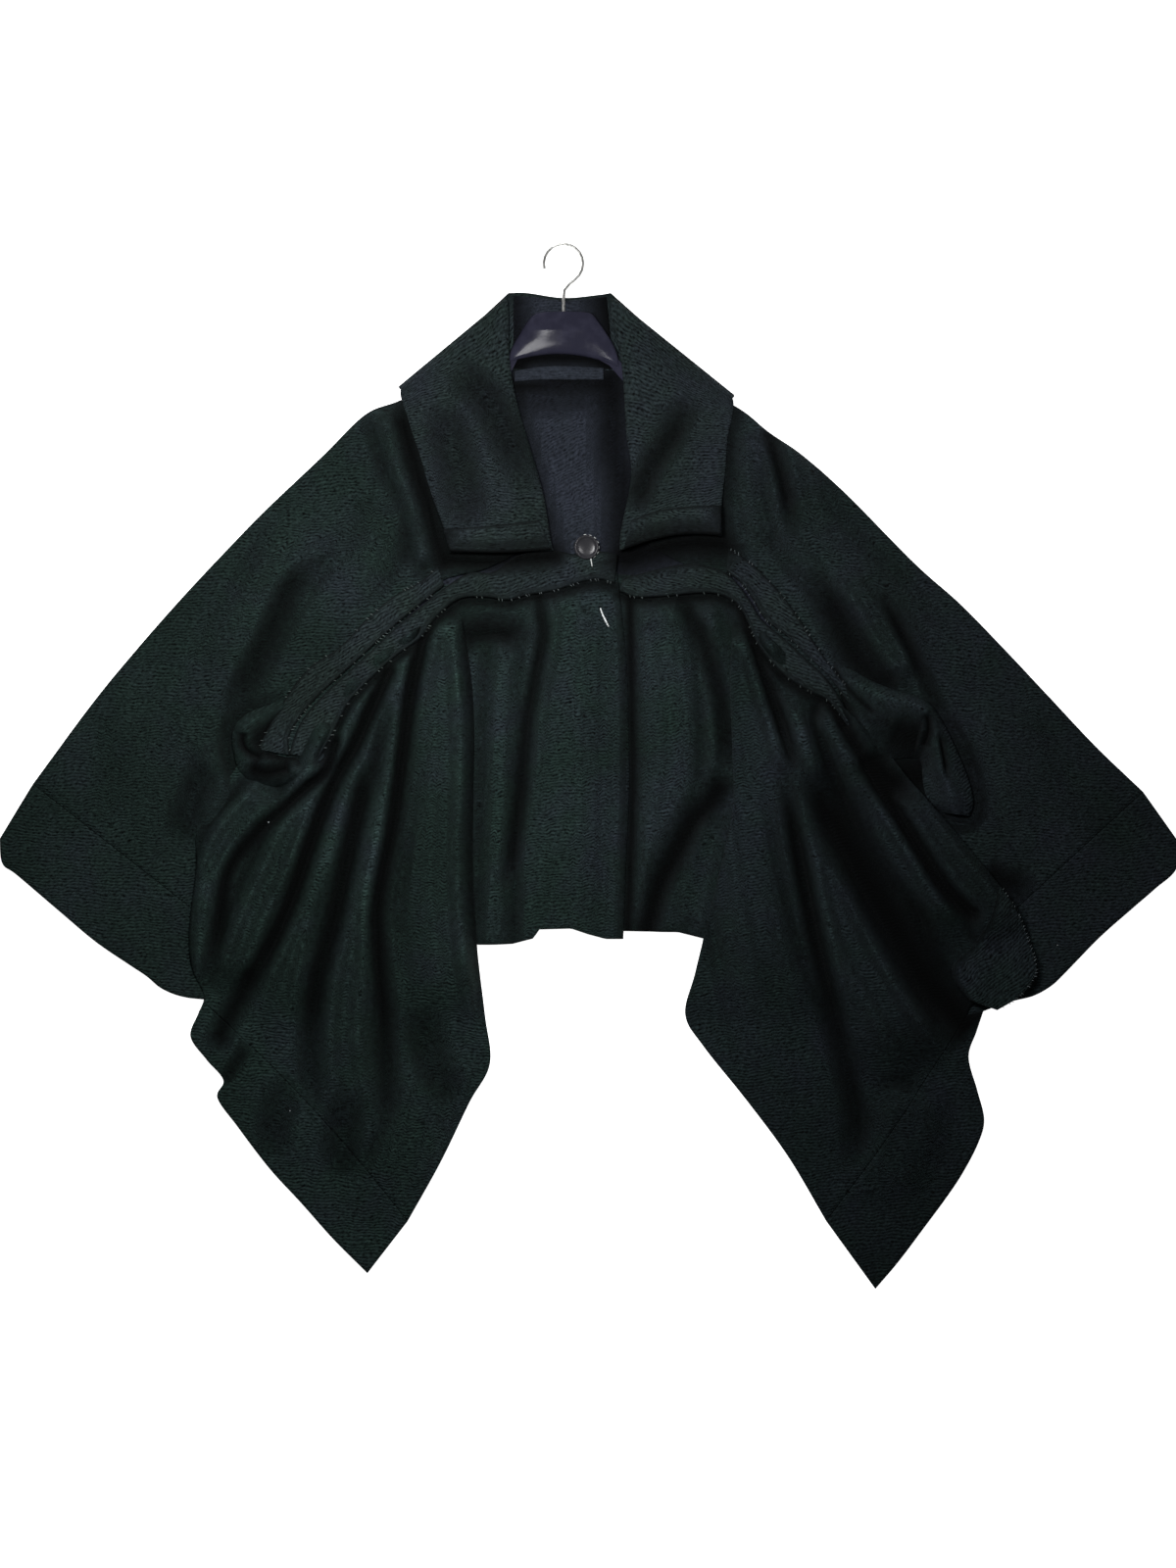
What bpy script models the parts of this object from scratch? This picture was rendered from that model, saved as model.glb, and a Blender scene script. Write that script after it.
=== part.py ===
"""A short draped cape-jacket in heavy wool knit, laid flat on its back with a plain hanger in its neck.

Every plan size is in millimetres: x runs from the centre line to the wearer's left, and drop runs
down from the top of the collar. The cloth pieces are thin walls over such a plan, and each wall's
underside follows a height above the surface that the cape lies on.
"""

import math
from collections import namedtuple

import bmesh
import bpy
import numpy as np

MM = 0.001
COLLECTION = "draped_cape"

# Driving sizes
CLOTH = 2.0
GAP = 0.3
LAYER = CLOTH + GAP
SLIT_CLOTH = 1.25 * CLOTH
HEM_TIP = 1015.0
HOOK_RADIUS = 20.0
HOOK_WIRE = 3.6
HOOK_CENTRE_DROP = -30.0
HANGER_X = -25.0
HANGER_THICK = 4.0
BUTTON_X = -1.5
BUTTON_DROP = 259.0
BUTTON_RADIUS = 12.5
BUTTON_THICK = 4.0
BUTTON_DISH = 1.2
SLIVER = 1.0

# The frame's centre lies half way between the hook's top and the lowest tip
HOOK_TOP = HOOK_CENTRE_DROP - HOOK_RADIUS - HOOK_WIRE / 2
MIDDLE_DROP = (HOOK_TOP + HEM_TIP) / 2

# Levels of the undersides of the layers
FRONT_LEVEL = LAYER
OVER_LEVEL = 2 * LAYER
YOKE_LEVEL = 3 * LAYER + 0.2
STRIP_CROWN = 0.8
ABOVE_YOKE = YOKE_LEVEL + CLOTH + STRIP_CROWN + GAP
HANGER_LEVEL = 2 * LAYER + GAP
SHOULDER_LEVEL = HANGER_LEVEL + HANGER_THICK + GAP
COLLAR_LEVEL = SHOULDER_LEVEL + CLOTH + 2 * GAP
LEAF_CROWN = 3.5

# Where a layer is lifted or let down: smoothly from a place in plan over a length, which may run backwards
Ramp = namedtuple("Ramp", "start length")
BACK_LIFT_LEFT = Ramp(-236, 34)
BACK_LIFT_RIGHT = Ramp(196, -34)
BACK_LIFT_LOW = Ramp(176, -44)
SHOULDER_LEFT = Ramp(-300, 60)
SHOULDER_RIGHT = Ramp(260, -60)
SHOULDER_LOW = Ramp(238, -62)
CROSSING = Ramp(-46, 26)
BESIDE_LEFT_DRAPE = Ramp(-104, 22)
BESIDE_CLOSURE = Ramp(62, 16)
RIGHT_DRAPE_EDGE = 126
RIGHT_DRAPE_EDGE_LOW = 92
RIGHT_DRAPE_TURN = Ramp(500, 130)
BESIDE_DRAPE = 22
HEM_MIDDLE = 698
HEM_SIDE = 756
HEM_TURN = Ramp(270, 90)
HEM_DROP = 50

Section = namedtuple("Section", "out_x out_drop in_x in_drop bow", defaults=(0.0,))
Fold = namedtuple("Fold", "name path height left right begin end")

BACK = [
    Section(-599, 558, -598, 577),
    Section(-566, 502, -560, 610),
    Section(-504, 417, -503, 658),
    Section(-457, 360, -455, 690),
    Section(-412, 309, -412, 712),
    Section(-367, 261, -372, 714),
    Section(-328, 221, -330, 690),
    Section(-270, 166, -275, 650),
    Section(-228, 127, -228, 640),
    Section(-196, 111, -196, 640),
    Section(-140, 89, -140, 640),
    Section(-84, 78, -84, 640),
    Section(-25, 80, -25, 640),
    Section(36, 79, 36, 640),
    Section(95, 93, 95, 640),
    Section(152, 116, 152, 640),
    Section(186, 143, 186, 640),
    Section(220, 168, 220, 640),
    Section(264, 207, 264, 640),
    Section(333, 277, 330, 690),
    Section(379, 318, 375, 714),
    Section(424, 364, 412, 714),
    Section(470, 413, 455, 708),
    Section(518, 464, 503, 670),
    Section(566, 512, 560, 616),
    Section(599, 558, 598, 584),
]

WING_LEFT = [
    Section(-94, 77, -50, 252),
    Section(-140, 88, -102, 280),
    Section(-194, 110, -154, 296),
    Section(-228, 124, -197, 346),
    Section(-270, 165, -221, 371),
    Section(-328, 220, -273, 424),
    Section(-367, 260, -308, 476),
    Section(-412, 308, -323, 540),
    Section(-457, 359, -332, 595),
    Section(-504, 416, -341, 640),
    Section(-566, 500, -352, 668),
]
CUFF_HEM_LEFT = [
    (-600, 556),
    (-597, 581),
    (-582, 593),
    (-541, 628),
    (-503, 660),
    (-468, 684),
    (-450, 696),
    (-437, 707),
    (-423, 714),
    (-408, 718),
    (-390, 720),
    (-366, 724),
]
WING_RIGHT = [
    Section(50, 78, 48, 248),
    Section(96, 92, 98, 276),
    Section(150, 115, 152, 292),
    Section(184, 141, 190, 345),
    Section(220, 166, 236, 390),
    Section(264, 205, 272, 434),
    Section(333, 275, 290, 482),
    Section(379, 316, 298, 530),
    Section(424, 362, 305, 575),
    Section(470, 411, 314, 620),
    Section(518, 462, 328, 658),
    Section(566, 508, 360, 698),
]
CUFF_HEM_RIGHT = [
    (600, 556),
    (600, 586),
    (578, 607),
    (556, 626),
    (522, 656),
    (486, 693),
    (472, 706),
    (454, 716),
    (431, 722),
    (400, 733),
    (358, 752),
]

FRONT_LEFT = [
    Section(-149, 297, 30, 284),
    Section(-213, 368, 35, 330),
    Section(-266, 420, 39, 375),
    Section(-301, 472, 41, 430),
    Section(-317, 540, 42, 500),
    Section(-327, 600, 39, 575),
    Section(-336, 640, 36, 658),
]
FRONT_RIGHT = [
    Section(146, 296, 8, 284),
    Section(184, 345, 8, 330),
    Section(230, 390, 8, 375),
    Section(266, 434, 8, 430),
    Section(284, 482, 8, 490),
    Section(299, 575, 8, 570),
    Section(310, 640, 8, 652),
]

FRONT_HEM_LEFT = [
    (-336, 640),
    (-130, 662),
    (-111, 664),
    (-77, 663),
    (-55, 657),
    (-50, 648),
    (-17, 647),
    (0, 653),
    (18, 658),
    (40, 658),
]
FRONT_HEM_RIGHT = [(8, 650), (36, 650), (92, 651), (119, 658), (310, 640)]

DRAPE_LEFT = [
    Section(-350, 455, -131, 314),
    Section(-358, 482, -125, 350),
    Section(-377, 508, -118, 400),
    Section(-398, 545, -116, 455),
    Section(-399, 590, -117, 520),
    Section(-405, 635, -117, 590),
    Section(-406, 668, -113, 664),
    Section(-402, 690, -105, 735),
    Section(-397, 702, -100, 785),
    Section(-393, 710, -121, 825),
    Section(-391, 716, -150, 885),
    Section(-392, 722, -184, 946, -7),
]
DRAPE_HEM_LEFT = [
    (-397, 733),
    (-405, 757),
    (-389, 781),
    (-372, 802),
    (-378, 820),
    (-357, 850),
    (-325, 892),
    (-293, 927),
    (-260, 964),
    (-225, 999),
]
DRAPE_RIGHT = [
    Section(302, 462, 150, 318),
    Section(322, 490, 146, 350),
    Section(343, 514, 144, 400),
    Section(377, 553, 146, 460),
    Section(416, 600, 147, 520),
    Section(440, 632, 138, 570),
    Section(452, 665, 124, 630),
    Section(444, 696, 109, 692),
    Section(412, 711, 99, 735),
    Section(400, 717, 118, 768),
    Section(393, 723, 162, 823),
    Section(388, 729, 204, 880),
    Section(386, 735, 243, 946, -3),
]
DRAPE_HEM_RIGHT = [
    (403, 731),
    (396, 752),
    (388, 778),
    (397, 812),
    (404, 842),
    (398, 866),
    (382, 897),
    (364, 924),
    (341, 955),
    (316, 988),
    (293, HEM_TIP),
]
TURNED_BAND = [
    Section(414, 612, 419, 604),
    Section(407, 636, 436, 630),
    Section(394, 660, 449, 662),
    Section(381, 674, 456, 688),
    Section(370, 686, 449, 704),
    Section(374, 702, 436, 718),
    Section(388, 720, 416, 730),
]

YOKE_LOWER_LEFT = [
    Section(30, 266, 27, 296),
    Section(10, 263, 12, 292),
    Section(-12, 266, -5, 294),
    Section(-40, 262, -33, 303),
    Section(-72, 268, -62, 308),
    Section(-96, 284, -82, 313),
    Section(-120, 285, -104, 310),
    Section(-143, 298, -131, 312),
    Section(-171, 320, -154, 330),
    Section(-197, 342, -171, 352),
    Section(-222, 366, -193, 368),
    Section(-247, 389, -216, 388),
    Section(-270, 410, -241, 414),
    Section(-289, 432, -251, 431),
    Section(-299, 452, -259, 447),
    Section(-304, 468, -273, 472),
]
YOKE_UPPER_LEFT = [
    Section(-153, 279, -146, 298),
    Section(-171, 294, -173, 319),
    Section(-198, 309, -199, 341),
    Section(-225, 332, -225, 365),
    Section(-252, 360, -250, 388),
    Section(-284, 382, -273, 409),
    Section(-309, 414, -292, 431),
    Section(-329, 450, -304, 455),
]
YOKE_LOWER_RIGHT = [
    Section(35, 291, 32, 304),
    Section(68, 282, 49, 310),
    Section(92, 277, 78, 309),
    Section(115, 277, 109, 306),
    Section(138, 284, 132, 307),
    Section(152, 296, 152, 317),
    Section(165, 314, 162, 334),
    Section(177, 333, 173, 358),
    Section(201, 353, 186, 375),
    Section(222, 373, 203, 392),
    Section(241, 391, 226, 406),
    Section(258, 416, 245, 416),
    Section(275, 452, 262, 438),
]
YOKE_UPPER_RIGHT = [
    Section(143, 260, 141, 284),
    Section(163, 273, 155, 295),
    Section(189, 298, 168, 313),
    Section(211, 326, 180, 332),
    Section(234, 362, 204, 351),
    Section(252, 387, 225, 371),
    Section(272, 412, 244, 389),
    Section(291, 434, 262, 414),
]
SLIT_EDGE_LEFT = [
    Section(-309, 418, -303, 430),
    Section(-330, 422, -318, 437),
    Section(-346, 429, -331, 442),
    Section(-357, 440, -340, 450),
    Section(-360, 454, -344, 457),
    Section(-358, 470, -341, 465),
    Section(-353, 487, -333, 472),
    Section(-338, 498, -318, 475),
    Section(-316, 500, -300, 474),
    Section(-290, 490, -284, 472),
    Section(-272, 478, -271, 471),
]
SLIT_EDGE_RIGHT = [
    Section(250, 377, 258, 412),
    Section(268, 383, 272, 446),
    Section(290, 396, 288, 477),
    Section(313, 406, 306, 474),
    Section(334, 411, 322, 471),
    Section(351, 424, 335, 470),
    Section(364, 444, 340, 480),
    Section(378, 470, 340, 492),
    Section(388, 498, 342, 505),
    Section(392, 519, 348, 517),
    Section(388, 532, 362, 527),
]

# Collar: a row for each place round the neck, with the points on its roll line and its free edge
CollarPlace = namedtuple("CollarPlace", "roll_x roll_drop free_x free_drop")
COLLAR_FRONT_LEFT = [
    CollarPlace(-35, 263, -140, 265),
    CollarPlace(-38, 251, -146, 242),
    CollarPlace(-46, 203, -160, 203),
    CollarPlace(-60, 154, -174, 160),
    CollarPlace(-74, 105, -184, 128),
    CollarPlace(-80, 63, -190, 108),
    CollarPlace(-81, 20, -191, 100),
]
COLLAR_FRONT_RIGHT = [
    CollarPlace(32, 263, 136, 248),
    CollarPlace(34, 240, 136, 217),
    CollarPlace(44, 186, 140, 180),
    CollarPlace(39, 144, 142, 150),
    CollarPlace(37, 110, 146, 130),
    CollarPlace(33, 63, 148, 117),
    CollarPlace(23, 20, 148, 110),
]
COLLAR_BACK = [
    CollarPlace(-81, -1, -188, 99),
    CollarPlace(-62, -1, -130, 108),
    CollarPlace(-25, 4, -25, 116),
    CollarPlace(10, 1, 90, 112),
    CollarPlace(23, -1, 144, 107),
]

COLLAR_END_LEFT = [
    Section(-147, 241, -140, 264),
    Section(-115, 239, -110, 265),
    Section(-85, 236, -80, 265),
    Section(-50, 232, -37, 262),
]
COLLAR_END_RIGHT = [
    Section(135, 217, 135, 247),
    Section(105, 218, 100, 246),
    Section(72, 222, 66, 252),
    Section(44, 232, 36, 262),
]
COLLAR_STAND = [
    Section(-76, 2, -76, 77),
    Section(-52, 4, -52, 77),
    Section(-25, 7, -25, 77),
    Section(0, 5, 0, 77),
    Section(19, 3, 26, 77),
]
NECK_TAPE = [
    Section(-73, 77, -73, 89),
    Section(-25, 75, -25, 87),
    Section(16, 75, 16, 86),
]

# Folds: each ridge's line in plan, its height, and how far it falls away to its left and right
FOLDS_LEFT = [
    Fold("front_edge", [(-148, 352), (-131, 450), (-134, 600), (-118, 770)], 20, 46, 17, 0.22, 0.3),
    Fold("inner", [(-186, 392), (-208, 520), (-236, 640), (-246, 770), (-222, 900)], 17, 34, 28, 0.2, 0.35),
    Fold("middle", [(-222, 418), (-262, 540), (-298, 650), (-318, 760)], 15, 28, 26, 0.2, 0.3),
    Fold("outer", [(-262, 478), (-306, 560), (-346, 645), (-368, 715)], 16, 24, 24, 0.25, 0.25),
    Fold("side", [(-338, 500), (-382, 560), (-390, 640), (-384, 706)], 12, 18, 26, 0.25, 0.3),
    Fold("hem_lobe", [(-300, 760), (-318, 805), (-352, 800)], 9, 26, 26, 0.3, 0.05),
    Fold("tip", [(-160, 760), (-176, 850), (-205, 950)], 9, 34, 40, 0.3, 0.4),
]
FOLDS_RIGHT = [
    Fold("front_edge", [(166, 380), (158, 470), (160, 560), (176, 680), (214, 830)], 18, 46, 34, 0.22, 0.35),
    Fold("main", [(214, 430), (244, 560), (284, 652), (336, 738), (372, 790)], 32, 58, 20, 0.28, 0.3),
    Fold("upper", [(268, 470), (300, 528), (340, 590), (372, 650)], 17, 24, 22, 0.25, 0.35),
    Fold("outer", [(318, 505), (366, 560), (414, 622), (436, 676)], 16, 24, 22, 0.25, 0.3),
    Fold("hem_lobe", [(330, 800), (318, 860), (290, 930)], 10, 40, 40, 0.3, 0.3),
]
FOLDS_CENTRE_LEFT = [
    Fold("gather", [(-68, 330), (-74, 420), (-80, 520), (-84, 640)], 9, 30, 24, 0.2, 0.0),
    Fold("panel", [(-20, 320), (-28, 430), (-26, 560), (-30, 658)], 6, 52, 40, 0.25, 0.0),
]
FOLDS_CENTRE_RIGHT = [
    Fold("panel", [(78, 330), (92, 420), (94, 520), (70, 640)], 8, 34, 40, 0.2, 0.0),
]
FOLDS_WING_LEFT = [
    Fold("shoulder", [(-252, 200), (-312, 300), (-352, 372), (-378, 440)], 9, 46, 30, 0.3, 0.4),
    Fold("under_slit", [(-446, 380), (-456, 480), (-452, 580)], 6, 40, 36, 0.4, 0.4),
]
FOLDS_WING_RIGHT = [
    Fold("shoulder", [(200, 180), (222, 240), (300, 330), (420, 450)], 8, 34, 50, 0.3, 0.4),
    Fold("under_slit", [(400, 380), (430, 480), (470, 560)], 7, 44, 44, 0.35, 0.4),
]

COLOURS = {
    "wool_green_black": (0.012, 0.020, 0.019),
    "wool_blue_black": (0.014, 0.017, 0.023),
    "edge_wool": (0.028, 0.034, 0.036),
    "black_plastic": (0.010, 0.010, 0.012),
    "steel_wire": (0.62, 0.62, 0.60),
    "button_plastic": (0.040, 0.041, 0.044),
}
ROUGHNESS = {"black_plastic": 0.18, "steel_wire": 0.3, "button_plastic": 0.35}


def smooth(share):
    """Rises gently from 0 to 1."""
    share = np.clip(share, 0.0, 1.0)
    return share * share * (3.0 - 2.0 * share)


def through(rows, count):
    """The given number of rows on a smooth curve through the table's rows."""
    rows = np.array([tuple(row) for row in rows], float)
    padded = np.vstack([2 * rows[0] - rows[1], rows, 2 * rows[-1] - rows[-2]])
    place = np.linspace(0, len(rows) - 1, count)
    start = np.minimum(place.astype(int), len(rows) - 2)
    t = (place - start)[:, None]
    before, here, following, after = (padded[start + k] for k in range(4))
    return 0.5 * (
        2 * here
        + (following - before) * t
        + (2 * before - 5 * here + 4 * following - after) * t**2
        + (3 * here - before - 3 * following + after) * t**3
    )


def unit(vectors):
    return vectors / np.maximum(np.linalg.norm(vectors, axis=-1, keepdims=True), 1e-9)


def loft(sections, rows, shares):
    """The plan of a panel: a row of points across each section, with the shares measured from its outer end."""
    table = through(sections, rows)
    outer, inner, bow = table[:, 0:2], table[:, 2:4], table[:, 4]
    across = inner - outer
    side = unit(np.stack([-across[:, 1], across[:, 0]], 1))
    share = np.asarray(shares, float)[None, :, None]
    bulge = (bow[:, None] * 4 * share[..., 0] * (1 - share[..., 0]))[..., None]
    return outer[:, None] + across[:, None] * share + side[:, None] * bulge


def band(inner_row, hem, rows):
    """The plan of a hem band between a panel's last row and the hem's points."""
    outer_row = through(hem, len(inner_row))
    share = np.linspace(0, 1, rows)[:, None, None]
    return inner_row[None] * (1 - share) + outer_row[None] * share


def with_hem(plan, hem):
    """The plan with its last row moved onto the hem's points, and the rows above eased towards it."""
    plan = plan.copy()
    shift = np.interp(plan[-1, :, 0], [x for x, drop in hem], [drop for x, drop in hem]) - plan[-1, :, 1]
    share = np.linspace(0, 1, len(plan))[:, None]
    plan[..., 1] += shift * share**4
    return plan


def trimmed(plan, amount=GAP / 2):
    """The plan with each border moved in by half a seam's gap."""
    plan = plan.copy()
    for border, inside in ((0, 1), (-1, -2)):
        plan[border] += amount * unit(plan[inside] - plan[border])
        plan[:, border] += amount * unit(plan[:, inside] - plan[:, border])
    return plan


def along(path, x, drop):
    """How far each point lies to the right of a smooth line, and its share of the way along it."""
    line = through(path, 5 * len(path))
    nearest = np.full(x.shape, np.inf)
    offset = np.zeros(x.shape)
    share = np.zeros(x.shape)
    steps = len(line) - 1
    for k in range(steps):
        start, step = line[k], line[k + 1] - line[k]
        from_x, from_drop = x - start[0], drop - start[1]
        t = np.clip((from_x * step[0] + from_drop * step[1]) / (step @ step), 0, 1)
        away = np.hypot(from_x - t * step[0], from_drop - t * step[1])
        closer = away < nearest
        nearest = np.where(closer, away, nearest)
        right = np.sign(from_x * step[1] - from_drop * step[0])
        offset = np.where(closer, away * right, offset)
        share = np.where(closer, (k + t) / steps, share)
    return offset, share


def relief(folds, x, drop):
    """The height that the folds add, as a soft union of their ridges."""
    total = np.zeros(x.shape)
    for fold in folds:
        offset, share = along(fold.path, x, drop)
        reach = np.where(offset > 0, fold.right, fold.left)
        height = fold.height * smooth(1 - np.abs(offset) / reach)
        if fold.begin:
            height = height * smooth(share / fold.begin)
        if fold.end:
            height = height * smooth((1 - share) / fold.end)
        total += height**3
    return np.cbrt(total)


def rise(value, ramp):
    return smooth((value - ramp.start) / ramp.length)


def back_under(x, drop):
    """The back lies on the surface, lifted only where the collar's fall passes under it."""
    return LAYER * rise(x, BACK_LIFT_LEFT) * rise(x, BACK_LIFT_RIGHT) * rise(drop, BACK_LIFT_LOW)


def shoulder_rise(x, drop):
    """The front stands on the hanger's arms near the neck."""
    share = rise(x, SHOULDER_LEFT) * rise(x, SHOULDER_RIGHT) * rise(drop, SHOULDER_LOW)
    return (SHOULDER_LEVEL - FRONT_LEVEL) * share


def wing_left_under(x, drop):
    return FRONT_LEVEL + shoulder_rise(x, drop) + relief(FOLDS_WING_LEFT, x, drop)


def wing_right_under(x, drop):
    return FRONT_LEVEL + shoulder_rise(x, drop) + relief(FOLDS_WING_RIGHT, x, drop)


def front_left_under(x, drop):
    """The left front crosses over the right one at the closure."""
    crossing = LAYER * rise(x, CROSSING)
    return FRONT_LEVEL + crossing + relief(FOLDS_CENTRE_LEFT, x, drop) * rise(x, BESIDE_LEFT_DRAPE)


def front_right_under(x, drop):
    turned = rise(drop, RIGHT_DRAPE_TURN)
    edge = RIGHT_DRAPE_EDGE + (RIGHT_DRAPE_EDGE_LOW - RIGHT_DRAPE_EDGE) * turned
    clear_of_drape = smooth((edge - x) / BESIDE_DRAPE)
    return FRONT_LEVEL + relief(FOLDS_CENTRE_RIGHT, x, drop) * clear_of_drape * rise(x, BESIDE_CLOSURE)


def drape_base(x, drop):
    """A drape lies over the fronts, and comes down to the surface past their hem."""
    hem = HEM_MIDDLE + (HEM_SIDE - HEM_MIDDLE) * rise(np.abs(x), HEM_TURN)
    return OVER_LEVEL * (1 - smooth((drop - hem) / HEM_DROP))


def drape_left_under(x, drop):
    return drape_base(x, drop) + relief(FOLDS_LEFT, x, drop)


def drape_right_under(x, drop):
    return drape_base(x, drop) + relief(FOLDS_RIGHT, x, drop)


def world(x, drop, height):
    return np.stack([x, MIDDLE_DROP - drop, height], -1) * MM


def material(name):
    made = bpy.data.materials.get(name)
    if made:
        return made
    made = bpy.data.materials.new(name)
    made.use_nodes = True
    shader = made.node_tree.nodes["Principled BSDF"]
    shader.inputs["Base Color"].default_value = (*COLOURS[name], 1)
    shader.inputs["Roughness"].default_value = ROUGHNESS.get(name, 0.92)
    shader.inputs["Metallic"].default_value = 1.0 if name == "steel_wire" else 0.0
    made.diffuse_color = (*COLOURS[name], 1)
    return made


def place(obj, finish):
    obj.data.materials.clear()
    obj.data.materials.append(material(finish))
    parts.objects.link(obj)
    return obj


def grid_faces(rows, columns, first, turned):
    faces = []
    for i in range(rows - 1):
        for j in range(columns - 1):
            a = first + i * columns + j
            face = (a, a + 1, a + columns + 1, a + columns)
            faces.append(face[::-1] if turned else face)
    return faces


def closed_sheet(name, low, high, finish):
    """A closed body between two grids of the same size."""
    rows, columns = low.shape[:2]
    count = rows * columns
    border = [j for j in range(columns)]
    border += [i * columns + columns - 1 for i in range(1, rows)]
    border += [(rows - 1) * columns + j for j in range(columns - 2, -1, -1)]
    border += [i * columns for i in range(rows - 2, 0, -1)]
    faces = grid_faces(rows, columns, 0, False) + grid_faces(rows, columns, count, True)
    for k, point in enumerate(border):
        other = border[(k + 1) % len(border)]
        faces.append((other, point, point + count, other + count))
    mesh = bpy.data.meshes.new(name)
    points = np.concatenate([low.reshape(-1, 3), high.reshape(-1, 3)])
    mesh.from_pydata(points.tolist(), [], faces)
    body = bmesh.new()
    body.from_mesh(mesh)
    bmesh.ops.recalc_face_normals(body, faces=body.faces)
    if body.calc_volume(signed=True) < 0:
        bmesh.ops.reverse_faces(body, faces=body.faces)
    body.to_mesh(mesh)
    body.free()
    mesh.shade_smooth()
    mesh.set_sharp_from_angle(angle=math.radians(50))
    return place(bpy.data.objects.new(name, mesh), finish)


def wall(name, plan, under, finish, edge_level=None):
    """A cloth wall whose underside follows a height over the plan, with its face one thickness above it."""
    x, drop = plan[..., 0], plan[..., 1]
    low = under(x, drop)
    slope_x = (under(x + SLIVER, drop) - under(x - SLIVER, drop)) / (2 * SLIVER)
    slope_drop = (under(x, drop + SLIVER) - under(x, drop - SLIVER)) / (2 * SLIVER)
    if edge_level is not None:
        low[:, 0] = edge_level(x[:, 0], drop[:, 0])
    high = low + CLOTH * np.minimum(np.sqrt(1 + slope_x**2 + slope_drop**2), 2.0)
    return closed_sheet(name, world(x, drop, low), world(x, drop, high), finish)


def arched_wall(name, sections, rows, base, height, finish):
    """A turned edge: a wall that arches up between its two long sides, and sinks towards its two ends."""
    shares = np.linspace(0, 1, 7)
    plan = loft(sections, rows, shares)
    x, drop = plan[..., 0], plan[..., 1]
    across = np.sin(np.pi * shares)[None] ** 0.8
    lengthwise = np.sin(np.pi * np.linspace(0.08, 0.92, rows))[:, None] ** 0.5
    low = base + height * across * lengthwise
    high = low + SLIT_CLOTH
    return closed_sheet(name, world(x, drop, low), world(x, drop, high), finish)


def strip(name, sections, rows, base, crown, finish):
    """A flat yoke strip, a little crowned between its seams."""
    shares = np.linspace(0, 1, 4)
    plan = trimmed(loft(sections, rows, shares))
    x, drop = plan[..., 0], plan[..., 1]
    low = base + crown * 4 * (shares * (1 - shares))[None] + np.zeros(x.shape)
    return closed_sheet(name, world(x, drop, low), world(x, drop, low + CLOTH), finish)


def make_back():
    shares = (0, 0.03, 0.075, 0.14, 0.24, 0.4, 0.6, 0.8, 1)
    wall("back", loft(BACK, 51, shares), back_under, "wool_blue_black")


def make_wing(side, sections, hem, under):
    shares = (0, 0.022, 0.08, 0.16, 0.26, 0.38, 0.52, 0.68, 0.84, 1)
    plan = loft(sections, 24, shares)
    finish = "wool_green_black" if side == "left" else "wool_blue_black"

    def edge_level(x, drop):
        return back_under(x, drop) + LAYER

    wall(f"wing_front_{side}", trimmed(plan), under, finish, edge_level)
    wall(f"cuff_band_{side}", trimmed(band(plan[-1], hem, 4), GAP), under, finish, edge_level)


def make_fronts():
    shares = np.linspace(0, 1, 16)
    plan = with_hem(loft(FRONT_LEFT, 14, shares), FRONT_HEM_LEFT)
    wall("centre_front_left", trimmed(plan), front_left_under, "wool_green_black")
    plan = with_hem(loft(FRONT_RIGHT, 14, shares), FRONT_HEM_RIGHT)
    wall("centre_front_right", trimmed(plan), front_right_under, "wool_green_black")


def make_drape(side, sections, hem, under):
    plan = loft(sections, 27, np.linspace(0, 1, 20))
    wall(f"drape_{side}", trimmed(plan), under, "wool_green_black")
    wall(f"drape_hem_{side}", trimmed(band(plan[-1], hem, 4), 3 * GAP), under, "wool_green_black")


def make_yoke():
    strip("yoke_lower_left", YOKE_LOWER_LEFT, 28, YOKE_LEVEL, STRIP_CROWN, "edge_wool")
    strip("yoke_upper_left", YOKE_UPPER_LEFT, 15, YOKE_LEVEL, STRIP_CROWN, "edge_wool")
    strip("yoke_lower_right", YOKE_LOWER_RIGHT, 23, YOKE_LEVEL, STRIP_CROWN, "edge_wool")
    strip("yoke_upper_right", YOKE_UPPER_RIGHT, 15, YOKE_LEVEL, STRIP_CROWN, "edge_wool")
    arched_wall("slit_edge_left", SLIT_EDGE_LEFT, 21, ABOVE_YOKE + LAYER, 9, "wool_green_black")
    arched_wall("slit_edge_right", SLIT_EDGE_RIGHT, 21, ABOVE_YOKE + 2 * LAYER, 12, "wool_blue_black")


def make_turned_band():
    """The right drape's hem band turns over on itself beside the wing."""

    def under(x, drop):
        return drape_right_under(x, drop) + 2 * LAYER + 4

    wall("turned_band_right", trimmed(loft(TURNED_BAND, 10, np.linspace(0, 1, 6))), under, "wool_blue_black")


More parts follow.
